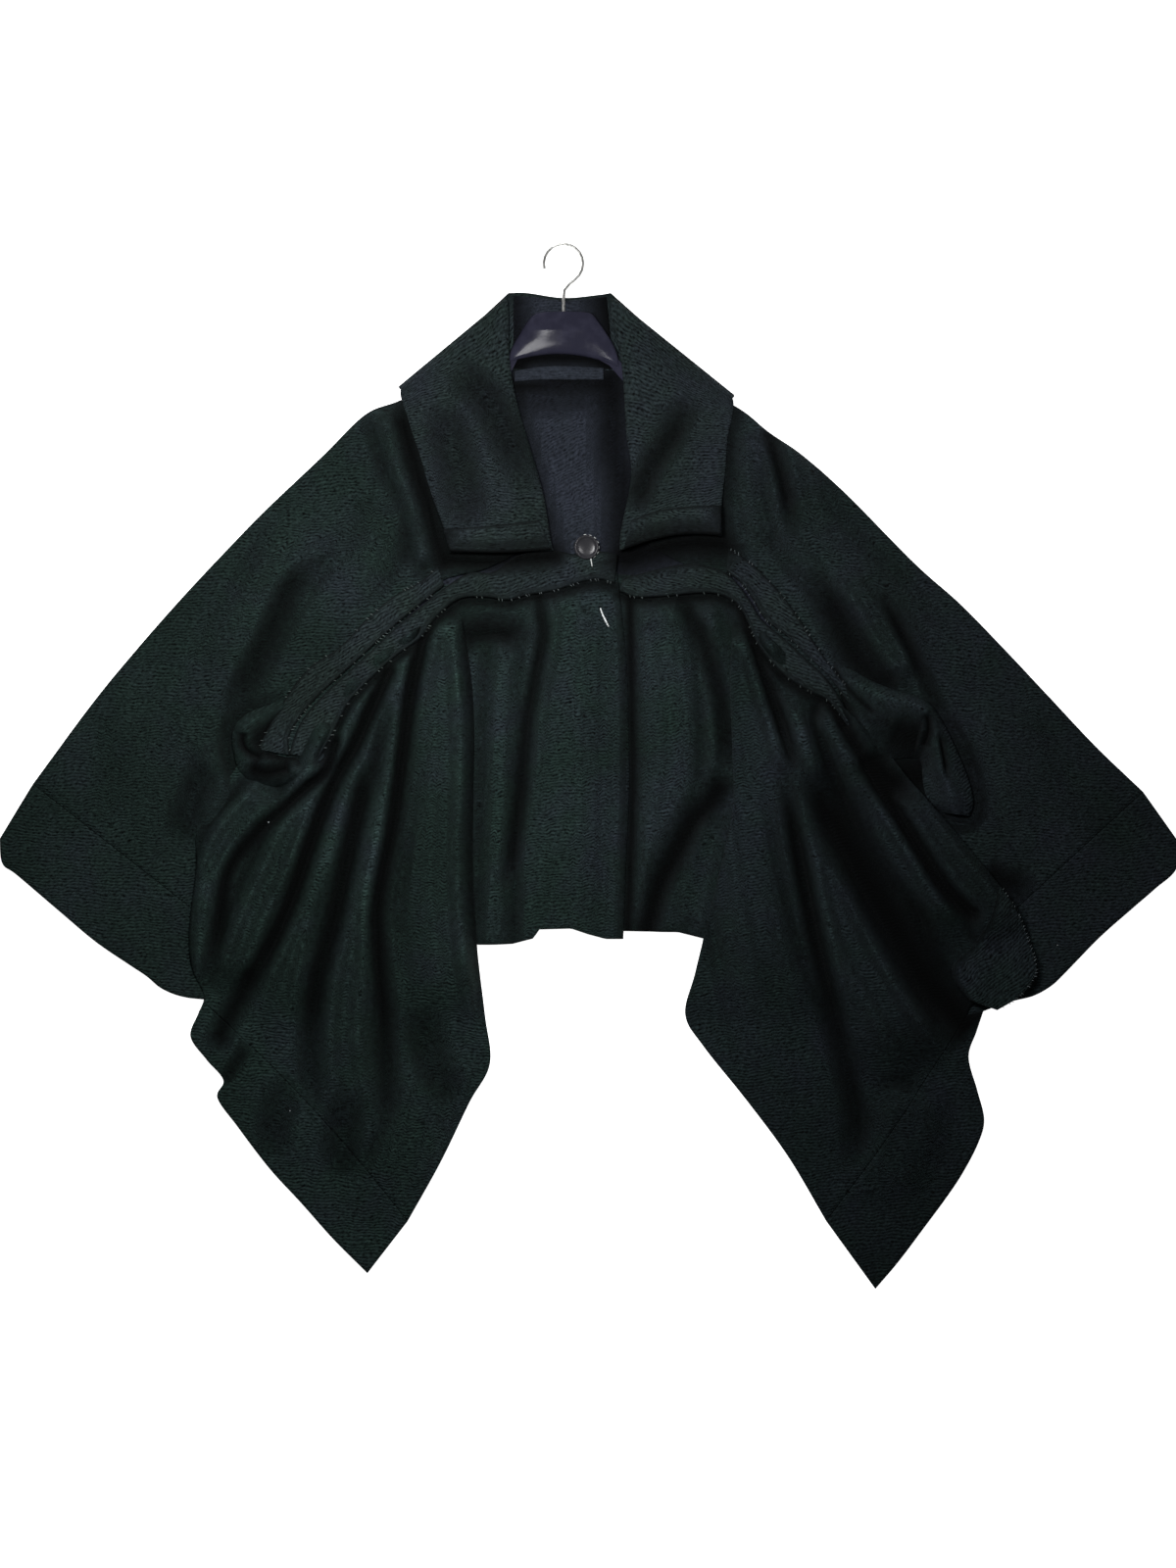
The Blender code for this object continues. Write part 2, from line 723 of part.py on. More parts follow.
def collar_points(rows_front, rows_bend, rows_back, shares):
    """The collar's middle surface: left front, its wrap under the shoulder, back, right wrap, right front."""
    level_top = COLLAR_LEVEL + CLOTH / 2
    level_under = CLOTH / 2
    radius = (level_top - level_under) / 2
    share = np.asarray(shares, float)[None, :, None]

    def flat(table, rows, level):
        places = through(table, rows)
        plan = places[:, None, 0:2] * (1 - share) + places[:, None, 2:4] * share
        height = np.full(plan.shape[:2] + (1,), level)
        if level == level_top:
            height += (LEAF_CROWN * np.sin(np.pi * np.asarray(shares)) ** 0.7)[None, :, None]
        return np.concatenate([plan, height], 2)

    left = flat(COLLAR_FRONT_LEFT, rows_front, level_top)
    right = flat(COLLAR_FRONT_RIGHT, rows_front, level_top)[::-1]
    back = flat(COLLAR_BACK, rows_back, level_under)

    def bend(start, outward):
        rows = []
        for angle in np.linspace(0, math.pi, rows_bend + 2)[1:-1]:
            row = start.copy()
            row[:, 0:2] += outward * radius * 0.8 * math.sin(angle)
            row[:, 2] = level_under + radius * (1 + math.cos(angle))
            rows.append(row)
        return np.array(rows)

    left_bend = bend((left[-1] + back[0]) / 2, np.array([-0.69, -0.72]))
    right_bend = bend((right[0] + back[-1]) / 2, np.array([0.66, -0.75]))[::-1]
    return np.concatenate([left, left_bend, back, right_bend, right])


def make_collar():
    shares = (0, 0.08, 0.25, 0.45, 0.65, 0.85, 1)
    middle = collar_points(11, 4, 11, shares)
    x, drop, height = middle[..., 0], middle[..., 1], middle[..., 2]
    surface = world(x, drop, height)
    mesh = bpy.data.meshes.new("collar")
    rows, columns = surface.shape[:2]
    mesh.from_pydata(surface.reshape(-1, 3).tolist(), [], grid_faces(rows, columns, 0, False))
    mesh.shade_smooth()
    collar = place(bpy.data.objects.new("collar", mesh), "wool_green_black")
    thicken = collar.modifiers.new("cloth", "SOLIDIFY")
    thicken.thickness = CLOTH * MM
    thicken.offset = 0
    thicken.use_even_offset = False


def make_collar_ends():
    """The stitched bands that finish the collar's two front ends."""
    level = COLLAR_LEVEL + LAYER + LEAF_CROWN
    crown = 0.6
    strip("collar_end_left", COLLAR_END_LEFT, 8, level, crown, "edge_wool")
    strip("collar_end_right", COLLAR_END_RIGHT, 8, level, crown, "edge_wool")


def make_neck():
    plan = trimmed(loft(COLLAR_STAND, 9, (0, 0.5, 1)))
    wall("collar_stand", plan, lambda x, drop: np.full(x.shape, LAYER), "wool_blue_black")
    plan = trimmed(loft(NECK_TAPE, 7, (0, 1)))
    wall("neck_tape", plan, lambda x, drop: np.full(x.shape, 2 * LAYER), "edge_wool")


def flat_outline(name, points, height, thick, finish):
    """A flat piece cut to an outline, with softened edges."""
    data = bpy.data.curves.new(name, "CURVE")
    data.dimensions = "2D"
    data.fill_mode = "BOTH"
    data.extrude = thick / 2 * MM
    spline = data.splines.new("POLY")
    spline.points.add(len(points) - 1)
    spline.use_cyclic_u = True
    for spot, (x, drop) in zip(spline.points, points):
        spot.co = (x * MM, (MIDDLE_DROP - drop) * MM, 0, 1)
    piece = place(bpy.data.objects.new(name, data), finish)
    piece.location.z = (height + thick / 2) * MM
    return piece


def make_hanger():
    """A plain moulded hanger: a tall boss in the neck and two thin arms inside the shoulders."""
    upper_right = [(-7, 20), (2, 22), (10, 31), (16, 40), (31, 68)]
    upper_right += [(52, 88), (96, 104), (140, 124), (164, 138)]
    end_right = [(171, 144), (169, 151), (161, 152)]
    lower_right = [(132, 138), (90, 118), (50, 103), (34, 88), (22, 74), (2, 63)]
    lower_left = [(-26, 60), (-57, 61), (-72, 68), (-84, 92)]
    lower_left += [(-92, 100), (-136, 113), (-172, 128), (-202, 144)]
    end_left = [(-211, 142), (-213, 135), (-207, 128)]
    upper_left = [(-176, 112), (-140, 98), (-96, 85), (-84, 72)]
    upper_left += [(-80, 65), (-67, 40), (-54, 23), (-38, 20)]
    outline = upper_right + end_right + lower_right + lower_left + end_left + upper_left
    flat_outline("hanger", outline, HANGER_LEVEL, HANGER_THICK, "black_plastic")

    data = bpy.data.curves.new("hanger_hook", "CURVE")
    data.dimensions = "3D"
    data.bevel_depth = HOOK_WIRE / 2 * MM
    data.bevel_resolution = 2
    data.use_fill_caps = True
    level = HANGER_LEVEL + HANGER_THICK / 2
    route = [(HANGER_X, 20 - GAP), (HANGER_X, 8), (HANGER_X + 1, -3), (HANGER_X + 7, -10)]
    for angle in np.linspace(-55, 195, 15):
        turn = math.radians(angle)
        route.append(
            (HANGER_X + HOOK_RADIUS * math.cos(turn), HOOK_CENTRE_DROP - HOOK_RADIUS * math.sin(turn))
        )
    spline = data.splines.new("POLY")
    spline.points.add(len(route) - 1)
    for spot, (x, drop) in zip(spline.points, route):
        spot.co = (x * MM, (MIDDLE_DROP - drop) * MM, level * MM, 1)
    place(bpy.data.objects.new("hanger_hook", data), "steel_wire")


def make_button():
    """A coat button with a raised rim, turned from its profile."""
    radius, thick = BUTTON_RADIUS, BUTTON_THICK
    floor = thick - BUTTON_DISH
    profile = [(0, 0), (radius - 1, 0), (radius, 1), (radius, thick - 0.8), (radius - 0.8, thick)]
    profile += [(radius - 2.4, thick), (radius - 3.2, floor), (0, floor)]
    mesh = bpy.data.meshes.new("button")
    points = [(r * MM, 0, z * MM) for r, z in profile]
    mesh.from_pydata(points, [(k, k + 1) for k in range(len(points) - 1)], [])
    button = place(bpy.data.objects.new("button", mesh), "button_plastic")
    turn = button.modifiers.new("turn", "SCREW")
    turn.steps = turn.render_steps = 24
    turn.use_merge_vertices = True
    turn.merge_threshold = 0.00005
    turn.use_normal_calculate = True
    button.location = (BUTTON_X * MM, (MIDDLE_DROP - BUTTON_DROP) * MM, ABOVE_YOKE * MM)


for old in list(bpy.data.objects):
    bpy.data.objects.remove(old, do_unlink=True)
parts = bpy.data.collections.new(COLLECTION)
bpy.context.scene.collection.children.link(parts)

make_back()
make_wing("left", WING_LEFT, CUFF_HEM_LEFT, wing_left_under)
make_wing("right", WING_RIGHT, CUFF_HEM_RIGHT, wing_right_under)
make_fronts()
make_drape("left", DRAPE_LEFT, DRAPE_HEM_LEFT, drape_left_under)
make_drape("right", DRAPE_RIGHT, DRAPE_HEM_RIGHT, drape_right_under)
make_turned_band()
make_yoke()
make_collar()
make_collar_ends()
make_neck()
make_hanger()
make_button()
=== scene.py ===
"""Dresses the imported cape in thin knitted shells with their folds, seams and stitches.

The hanger's moulded boss, the button and its threads are made here too.

Plan sizes are in millimetres, as in the part's own source: x runs from the centre line to the
wearer's left, and drop runs down from the top of the collar. Heights are above the surface on
which the cape lies.
"""

import math
from collections import namedtuple

import bmesh
import bpy
import numpy as np
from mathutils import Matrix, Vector

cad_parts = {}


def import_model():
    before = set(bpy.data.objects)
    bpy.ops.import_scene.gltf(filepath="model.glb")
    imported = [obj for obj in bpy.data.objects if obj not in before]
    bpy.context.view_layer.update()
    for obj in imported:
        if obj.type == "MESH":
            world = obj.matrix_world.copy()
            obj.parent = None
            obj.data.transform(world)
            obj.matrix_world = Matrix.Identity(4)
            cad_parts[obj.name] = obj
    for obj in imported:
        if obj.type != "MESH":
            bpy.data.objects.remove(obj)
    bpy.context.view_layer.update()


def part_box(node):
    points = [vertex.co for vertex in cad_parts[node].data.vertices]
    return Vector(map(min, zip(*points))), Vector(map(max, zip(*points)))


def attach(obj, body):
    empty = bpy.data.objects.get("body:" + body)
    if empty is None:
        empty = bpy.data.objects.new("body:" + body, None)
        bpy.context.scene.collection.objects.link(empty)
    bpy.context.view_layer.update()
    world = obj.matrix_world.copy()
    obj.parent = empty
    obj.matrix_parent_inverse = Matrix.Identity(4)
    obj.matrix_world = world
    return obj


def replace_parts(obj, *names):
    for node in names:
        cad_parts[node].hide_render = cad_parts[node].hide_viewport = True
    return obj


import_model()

MM = 0.001
CLOTH = 2.0
GAP = 0.3
LAYER = CLOTH + GAP
HEM_TIP = 1015.0
HOOK_RADIUS = 20.0
HOOK_WIRE = 3.6
HOOK_CENTRE_DROP = -30.0
HANGER_THICK = 4.0
HOOK_TOP = HOOK_CENTRE_DROP - HOOK_RADIUS - HOOK_WIRE / 2
MIDDLE_DROP = (HOOK_TOP + HEM_TIP) / 2

FRONT_LEVEL = LAYER
OVER_LEVEL = 2 * LAYER
YOKE_CLEARANCE = 0.2
YOKE_LEVEL = 3 * LAYER + YOKE_CLEARANCE
HANGER_LEVEL = 2 * LAYER + GAP
SHOULDER_LEVEL = HANGER_LEVEL + HANGER_THICK + GAP
COLLAR_LEVEL = SHOULDER_LEVEL + CLOTH + 2 * GAP
LEAF_CROWN = 3.5
SLIVER = 0.5
RIM = 0.8

Section = namedtuple("Section", "out_x out_drop in_x in_drop bow", defaults=(0.0,))
Fold = namedtuple("Fold", "name path height left right begin end")
Crease = namedtuple("Crease", "name path depth left right begin end", defaults=(0.0, 0.0))
SlitSection = namedtuple("SlitSection", "out_x out_drop in_x in_drop lip rise dark")
CollarPlace = namedtuple("CollarPlace", "roll_x roll_drop free_x free_drop")
SlitSpot = namedtuple("SlitSpot", "x drop reach")
Sheet = namedtuple("Sheet", "node wide long area held rests_on")
Light = namedtuple("Light", "name place size power")
Ramp = namedtuple("Ramp", "start length")


def rows_of(kind, rows):
    return [kind(*row) for row in rows]


BACK = rows_of(Section, [
    (-599, 558, -598, 577), (-566, 502, -560, 610), (-504, 417, -503, 658), (-457, 360, -455, 690),
    (-412, 309, -412, 712), (-367, 261, -372, 714), (-328, 221, -330, 690), (-270, 166, -275, 650),
    (-228, 127, -228, 640), (-196, 111, -196, 640), (-140, 89, -140, 640), (-84, 78, -84, 640),
    (-25, 80, -25, 640), (36, 79, 36, 640), (95, 93, 95, 640), (152, 116, 152, 640), (186, 143, 186, 640),
    (220, 168, 220, 640), (264, 207, 264, 640), (333, 277, 330, 690), (379, 318, 375, 714),
    (424, 364, 412, 714), (470, 413, 455, 708), (518, 464, 503, 670), (566, 512, 560, 616),
    (599, 558, 598, 584),
])
WING_LEFT = rows_of(Section, [
    (-94, 77, -50, 252), (-140, 88, -102, 280), (-194, 110, -154, 296), (-228, 124, -197, 346),
    (-270, 165, -221, 371), (-328, 220, -273, 424), (-367, 260, -308, 476), (-412, 308, -323, 540),
    (-457, 359, -332, 595), (-504, 416, -341, 640), (-566, 500, -352, 668),
])
CUFF_HEM_LEFT = [
    (-600, 556), (-597, 581), (-582, 593), (-541, 628), (-503, 660), (-468, 684), (-450, 696), (-437, 707),
    (-423, 714), (-408, 718), (-390, 720), (-366, 724),
]
WING_RIGHT = rows_of(Section, [
    (50, 78, 48, 248), (96, 92, 98, 276), (150, 115, 152, 292), (184, 141, 190, 345), (220, 166, 236, 390),
    (264, 205, 272, 434), (333, 275, 290, 482), (379, 316, 298, 530), (424, 362, 305, 575),
    (470, 411, 314, 620), (518, 462, 328, 658), (566, 508, 360, 698),
])
CUFF_HEM_RIGHT = [
    (600, 556), (600, 586), (578, 607), (556, 626), (522, 656), (486, 693), (472, 706), (454, 716),
    (431, 722), (400, 733), (358, 752),
]
FRONT_LEFT = rows_of(Section, [
    (-149, 297, 30, 284), (-213, 368, 35, 330), (-266, 420, 39, 375), (-301, 472, 41, 430),
    (-317, 540, 42, 500), (-327, 600, 39, 575), (-336, 640, 36, 658),
])
FRONT_RIGHT = rows_of(Section, [
    (146, 296, 8, 284), (184, 345, 8, 330), (230, 390, 8, 375), (266, 434, 8, 430), (284, 482, 8, 490),
    (299, 575, 8, 570), (310, 640, 8, 652),
])
FRONT_HEM_LEFT = [
    (-336, 640), (-130, 662), (-111, 664), (-77, 663), (-55, 657), (-50, 648), (-17, 647), (0, 653),
    (18, 658), (40, 658),
]
FRONT_HEM_RIGHT = [(8, 650), (36, 650), (92, 651), (119, 658), (310, 640)]
DRAPE_LEFT = rows_of(Section, [
    (-350, 455, -131, 314), (-358, 482, -125, 350), (-377, 508, -118, 400), (-398, 545, -116, 455),
    (-399, 590, -117, 520), (-405, 635, -117, 590), (-406, 668, -113, 664), (-402, 690, -105, 735),
    (-397, 702, -100, 785), (-393, 710, -121, 825), (-391, 716, -150, 885), (-392, 722, -184, 946, -7),
])
DRAPE_HEM_LEFT = [
    (-397, 733), (-405, 757), (-389, 781), (-372, 802), (-378, 820), (-357, 850), (-325, 892), (-293, 927),
    (-260, 964), (-225, 999),
]
DRAPE_RIGHT = rows_of(Section, [
    (302, 462, 150, 318), (322, 490, 146, 350), (343, 514, 144, 400), (377, 553, 146, 460),
    (416, 600, 147, 520), (440, 632, 138, 570), (452, 665, 124, 630), (444, 696, 109, 692),
    (412, 711, 99, 735), (400, 717, 118, 768), (393, 723, 162, 823), (388, 729, 204, 880),
    (386, 735, 243, 946, -3),
])
DRAPE_HEM_RIGHT = [
    (403, 731), (396, 752), (388, 778), (397, 812), (404, 842), (398, 866), (382, 897), (364, 924),
    (341, 955), (316, 988), (293, HEM_TIP),
]
TURNED_BAND = rows_of(Section, [
    (414, 612, 419, 604), (407, 636, 436, 630), (394, 660, 449, 662), (381, 674, 456, 688),
    (370, 686, 449, 704), (374, 702, 436, 718), (388, 720, 416, 730),
])
YOKE_LOWER_LEFT = rows_of(Section, [
    (30, 266, 27, 296), (10, 263, 12, 292), (-12, 266, -5, 294), (-40, 262, -33, 303), (-72, 268, -62, 308),
    (-96, 284, -82, 313), (-120, 285, -104, 310), (-143, 298, -131, 312), (-171, 320, -154, 330),
    (-197, 342, -171, 352), (-222, 366, -193, 368), (-247, 389, -216, 388), (-270, 410, -241, 414),
    (-289, 432, -251, 431), (-299, 452, -259, 447), (-304, 470, -273, 473),
])
YOKE_UPPER_LEFT = rows_of(Section, [
    (-153, 279, -146, 298), (-171, 294, -173, 319), (-198, 309, -199, 341), (-225, 332, -225, 365),
    (-252, 360, -250, 388), (-284, 382, -273, 409), (-309, 414, -292, 431), (-328, 448, -304, 452),
    (-336, 465, -303, 471),
])
YOKE_LOWER_RIGHT = rows_of(Section, [
    (35, 291, 32, 304), (68, 282, 49, 310), (92, 277, 78, 309), (115, 277, 109, 306), (138, 284, 132, 307),
    (152, 296, 152, 317), (165, 314, 162, 334), (177, 333, 173, 358), (201, 353, 186, 375),
    (222, 373, 203, 392), (241, 391, 226, 406), (258, 416, 245, 416), (275, 452, 262, 438),
])
YOKE_UPPER_RIGHT = rows_of(Section, [
    (143, 260, 141, 284), (163, 273, 155, 295), (189, 298, 168, 313), (211, 326, 180, 332),
    (234, 362, 204, 351), (252, 387, 225, 371), (272, 412, 244, 389), (291, 434, 262, 414),
])
# Each row: outer and inner point, where the lip lies across, how high it rises, and how much painted shade
# falls into the slit
SLIT_EDGE_LEFT = rows_of(SlitSection, [
    (-304, 413, -300, 424, 0.50, 3, 0.1), (-328, 421, -312, 435, 0.40, 6, 0.5),
    (-345, 428, -320, 445, 0.32, 8, 0.8), (-357, 438, -326, 454, 0.26, 9, 0.9),
    (-362, 452, -328, 461, 0.24, 9, 0.9), (-360, 470, -322, 467, 0.28, 9, 0.9),
    (-354, 487, -312, 471, 0.42, 10, 1.0), (-338, 499, -298, 473, 0.50, 12, 1.0),
    (-314, 502, -286, 474, 0.50, 13, 0.9), (-288, 493, -276, 473, 0.50, 10, 0.6),
    (-268, 474, -268, 468, 0.50, 4, 0.2),
])
SLIT_EDGE_RIGHT = rows_of(SlitSection, [
    (250, 377, 256, 408, 0.30, 3, 0.1), (268, 384, 270, 440, 0.20, 8, 0.3),
    (290, 396, 288, 472, 0.15, 11, 0.4), (313, 405, 306, 475, 0.14, 13, 0.65),
    (334, 411, 322, 474, 0.15, 15, 0.8), (349, 420, 335, 474, 0.20, 15, 0.75),
    (362, 440, 340, 480, 0.40, 15, 0.35), (376, 468, 341, 493, 0.50, 15, 0.1),
    (388, 498, 343, 507, 0.50, 14, 0.1), (392, 519, 349, 519, 0.50, 12, 0.1),
    (388, 533, 362, 529, 0.50, 6, 0.2),
])
SLIT_SPOTS = rows_of(SlitSpot, [
    (-318, 456, 46), (328, 452, 70),
])
SLIT_OUTER_LEVEL = 7.4
SLIT_INNER_LEVEL = 6.2
SLIT_DENT = 0.45
BROAD = 1.3
# Painted shade along the creases and in the hollows between folds, and a painted highlight on their crests
CREASE_SHADE_WIDTH = 1.15
CREASE_SHADE_EDGE = 2.8
CAVITY_REACH = 13.0
CAVITY_DEPTH = 5.0
VALLEY_SHADE = 0.7
CREST_HIGHLIGHT = 0.4
# Sewn strips: the painted shade in their seams, their trimmed rim, and the lower seam's ridge with its
# painted highlight
SEAM_SHADE = 0.85
SEAM_SHADE_REACH = 1.2
STRIP_RIM = 0.35
SEAM_RIDGE = 1.1
RIDGE_HIGHLIGHT = 0.55
RIDGE_AT = 3.0
YOKE_CLEAR = 11.0
COLLAR_SHADOW = 0.7
COLLAR_SHADOW_REACH = 8.0
COLLAR_FREE_EDGES = [
    [(-190, 118), (-174, 160), (-160, 203), (-146, 242), (-140, 265), (-90, 266), (-35, 263)],
    [(148, 118), (142, 150), (140, 180), (136, 217), (136, 248), (97, 244), (61, 251), (38, 263)],
]
COLLAR_FRONT_LEFT = rows_of(CollarPlace, [
    (-35, 263, -140, 265), (-38, 251, -146, 242), (-46, 203, -160, 203), (-60, 154, -174, 160),
    (-74, 105, -184, 128), (-80, 63, -190, 108), (-81, 20, -191, 100),
])
COLLAR_FRONT_RIGHT = rows_of(CollarPlace, [
    (32, 263, 136, 248), (34, 240, 136, 217), (44, 186, 140, 180), (39, 144, 142, 150), (37, 110, 146, 130),
    (33, 63, 148, 117), (23, 20, 148, 110),
])
COLLAR_BACK = rows_of(CollarPlace, [
    (-81, -1, -188, 99), (-62, -1, -130, 108), (-25, 4, -25, 116), (10, 1, 90, 112), (23, -1, 144, 107),
])
COLLAR_END_LEFT = rows_of(Section, [
    (-147, 241, -140, 264), (-115, 239, -110, 265), (-85, 236, -80, 265), (-50, 232, -37, 262),
])
COLLAR_END_RIGHT = rows_of(Section, [
    (135, 217, 135, 247), (105, 218, 100, 246), (72, 222, 66, 252), (44, 232, 36, 262),
])
COLLAR_STAND = rows_of(Section, [
    (-76, 2, -76, 77), (-52, 4, -52, 77), (-25, 7, -25, 77), (0, 5, 0, 77), (19, 3, 26, 77),
])
NECK_TAPE = rows_of(Section, [
    (-75, 79, -75, 90), (-50, 75, -50, 88), (-20, 74, -20, 88), (16, 76, 16, 88),
])

# Ridges of the folds: the crest's line, its height, and how far it falls away to its left and right
FOLDS_LEFT = rows_of(Fold, [
    ("front_edge", [(-146, 326), (-136, 450), (-138, 600), (-124, 770)], 21, 62, 22, 0.05, 0.2),
    ("inner", [(-180, 356), (-208, 520), (-236, 640), (-246, 770), (-222, 900)], 19, 44, 38, 0.04, 0.3),
    ("middle", [(-212, 392), (-262, 540), (-298, 650), (-318, 760)], 17, 38, 36, 0.04, 0.25),
    ("outer", [(-250, 436), (-306, 560), (-346, 645), (-368, 715)], 17, 30, 34, 0.06, 0.2),
    ("side", [(-322, 496), (-376, 560), (-390, 640), (-388, 706)], 12, 20, 34, 0.12, 0.2),
    ("tip", [(-160, 760), (-176, 850), (-205, 950)], 9, 44, 46, 0.3, 0.4),
])
# Creases that cut into the folds; each also paints shade along its line
CREASES_LEFT = rows_of(Crease, [
    ("first", [(-168, 340), (-182, 410), (-190, 470), (-200, 545), (-214, 620), (-214, 670), (-208, 740),
        (-205, 809), (-201, 860)], 0.95, 5, 9, 0.0, 0.3),
    ("second", [(-222, 470), (-244, 570), (-260, 640), (-278, 706), (-286, 770),
        (-284, 840)], 0.85, 7, 11, 0.1, 0.4),
    ("third", [(-205, 385), (-234, 452), (-260, 500), (-280, 552), (-304, 620), (-328, 672),
        (-368, 734)], 0.95, 6, 9, 0.0, 0.2),
    ("fourth", [(-258, 458), (-268, 488), (-288, 504), (-312, 526), (-340, 552), (-366, 590), (-378, 650),
        (-391, 714)], 0.92, 5, 7, 0.0, 0.2),
    ("inner_soft", [(-200, 400), (-214, 470), (-222, 520)], 0.4, 7, 9, 0.3, 0.4),
    ("soft", [(-179, 723), (-162, 781), (-136, 829)], 0.5, 12, 16, 0.3, 0.3),
    ("low", [(-240, 800), (-250, 860), (-246, 900)], 0.5, 14, 12, 0.4, 0.4),
    ("hem_dark", [(-336, 680), (-352, 712), (-367, 738), (-382, 770)], 0.9, 7, 8, 0.2, 0.15),
    ("hem_edge", [(-346, 762), (-360, 786), (-374, 804)], 0.6, 4, 4, 0.3, 0.2),
    ("hem_soft", [(-300, 790), (-318, 840), (-322, 880)], 0.4, 12, 12, 0.4, 0.4),
])
FOLDS_RIGHT = rows_of(Fold, [
    ("front_edge", [(162, 336), (160, 470), (164, 560), (184, 680), (222, 830)], 19, 56, 50, 0.05, 0.35),
    ("main", [(186, 372), (236, 560), (270, 652), (318, 738), (352, 790)], 30, 70, 40, 0.12, 0.3),
    ("upper", [(240, 414), (300, 540), (340, 610), (376, 670)], 20, 34, 34, 0.06, 0.3),
    ("outer", [(296, 470), (352, 556), (400, 616), (430, 664)], 18, 30, 34, 0.1, 0.25),
    ("hem_lobe", [(330, 800), (318, 860), (290, 930)], 10, 44, 44, 0.3, 0.3),
])
CREASES_RIGHT = rows_of(Crease, [
    ("long", [(196, 470), (210, 548), (228, 640), (246, 720), (262, 786), (273, 840),
        (266, 892)], 0.75, 9, 7, 0.25, 0.2),
    ("main_edge", [(226, 470), (242, 520), (268, 572), (296, 620), (320, 660), (344, 700), (372, 734),
        (392, 756)], 1.0, 17, 26, 0.2, 0.06),
    ("upper", [(246, 405), (262, 444), (284, 480), (304, 514), (326, 547)], 0.8, 6, 8, 0.0, 0.35),
    ("middle", [(280, 470), (296, 500), (320, 540), (340, 572), (360, 604), (386, 630),
        (402, 640)], 0.92, 6, 8, 0.1, 0.15),
    ("fold_edge", [(309, 590), (337, 636), (352, 676), (374, 702)], 0.5, 7, 8, 0.3, 0.3),
    ("slit_hollow", [(280, 466), (304, 494), (336, 526)], 1.0, 15, 17, 0.25, 0.4),
    ("gather", [(158, 322), (176, 380), (196, 440), (212, 500)], 0.75, 5, 7, 0.0, 0.4),
])
FOLDS_CENTRE_LEFT = rows_of(Fold, [
    ("gather", [(-82, 338), (-88, 420), (-92, 520), (-96, 656)], 10, 20, 24, 0.06, 0.0),
    ("panel", [(-20, 296), (-26, 430), (-26, 560), (-30, 660)], 10, 60, 48, 0.1, 0.0),
])
CREASES_CENTRE_LEFT = rows_of(Crease, [
    ("second", [(-51, 306), (-46, 346), (-54, 392), (-62, 440), (-68, 500), (-76, 560),
        (-84, 612)], 0.78, 5, 6, 0.0, 0.15),
    ("pouch", [(-134, 376), (-124, 352), (-102, 346), (-78, 350), (-62, 364)], 0.92, 9, 15, 0.3, 0.3),
    ("closure", [(36, 296), (40, 400), (40, 560), (37, 656)], 0.5, 5, 5),
])
FOLDS_CENTRE_RIGHT = rows_of(Fold, [
    ("panel", [(70, 306), (84, 420), (84, 500), (60, 640)], 10, 40, 44, 0.08, 0.0),
    ("side", [(116, 312), (134, 400), (132, 500), (104, 640)], 9, 26, 26, 0.08, 0.0),
])
CREASES_CENTRE_RIGHT = rows_of(Crease, [
    ("curved", [(90, 300), (115, 346), (129, 389), (140, 440), (144, 500)], 0.75, 9, 7, 0.08, 0.2),
    ("slanted", [(146, 486), (127, 518), (107, 541), (90, 574), (74, 606),
        (61, 652)], 0.95, 14, 9, 0.12, 0.0),
    ("closure", [(42, 300), (44, 400), (45, 500), (43, 575), (40, 652)], 0.95, 4, 4.5),
])
FOLDS_WING_LEFT = rows_of(Fold, [
    ("shoulder", [(-252, 200), (-312, 300), (-352, 372), (-378, 440)], 9, 46, 30, 0.3, 0.4),
    ("under_slit", [(-446, 380), (-456, 480), (-452, 580)], 6, 40, 36, 0.4, 0.4),
    ("beside_yoke", [(-190, 180), (-212, 260), (-262, 330)], 5, 30, 26, 0.3, 0.4),
    ("beside_collar", [(-206, 112), (-190, 170), (-170, 230), (-160, 280)], 9, 22, 26, 0.15, 0.1),
    ("below_slit", [(-380, 440), (-380, 500), (-400, 560)], 7, 26, 22, 0.3, 0.4),
])
CREASES_WING_LEFT = rows_of(Crease, [
    ("fold_edge", [(-261, 271), (-300, 296), (-324, 345), (-350, 396), (-362, 440)], 0.7, 9, 12, 0.3, 0.3),
    ("beside_collar", [(-192, 116), (-178, 170), (-162, 220), (-148, 275)], 0.95, 8, 7, 0.1, 0.0),
    ("under_slit", [(-388, 470), (-404, 520), (-420, 560)], 0.5, 12, 12, 0.3, 0.4),
    ("round_slit", [(-306, 408), (-336, 420), (-360, 434), (-368, 454), (-366, 478), (-354, 498),
        (-330, 510)], 0.55, 6, 6, 0.2, 0.1),
])
FOLDS_WING_RIGHT = rows_of(Fold, [
    ("over_slit", [(246, 262), (276, 310), (304, 356), (336, 400)], 12, 22, 26, 0.3, 0.2),
    ("shoulder", [(190, 130), (216, 240), (300, 330), (384, 430)], 9, 34, 46, 0.1, 0.35),
    ("under_slit", [(410, 400), (436, 480), (470, 560)], 7, 40, 44, 0.35, 0.4),
    ("beside_collar", [(166, 130), (168, 200), (180, 260)], 5, 18, 22, 0.2, 0.2),
])
CREASES_WING_RIGHT = rows_of(Crease, [
    ("beside_yoke", [(226, 280), (248, 318), (266, 356), (286, 386), (316, 404)], 0.9, 12, 10, 0.3, 0.1),
    ("fold_line", [(296, 300), (318, 344), (340, 388), (360, 432)], 0.6, 5, 6, 0.35, 0.1),
    ("slit_hollow", [(292, 492), (318, 490), (340, 492)], 1.0, 22, 20),
    ("round_tube", [(352, 418), (370, 440), (386, 468), (396, 500), (398, 528), (386, 541), (362, 536),
        (344, 518)], 0.5, 7, 5, 0.15, 0.1),
    ("shoulder", [(181, 138), (192, 172), (201, 208), (208, 256)], 0.75, 5, 7, 0.05, 0.4),
    ("pocket", [(404, 588), (424, 598), (456, 604)], 0.9, 12, 9, 0.2, 0.4),
])
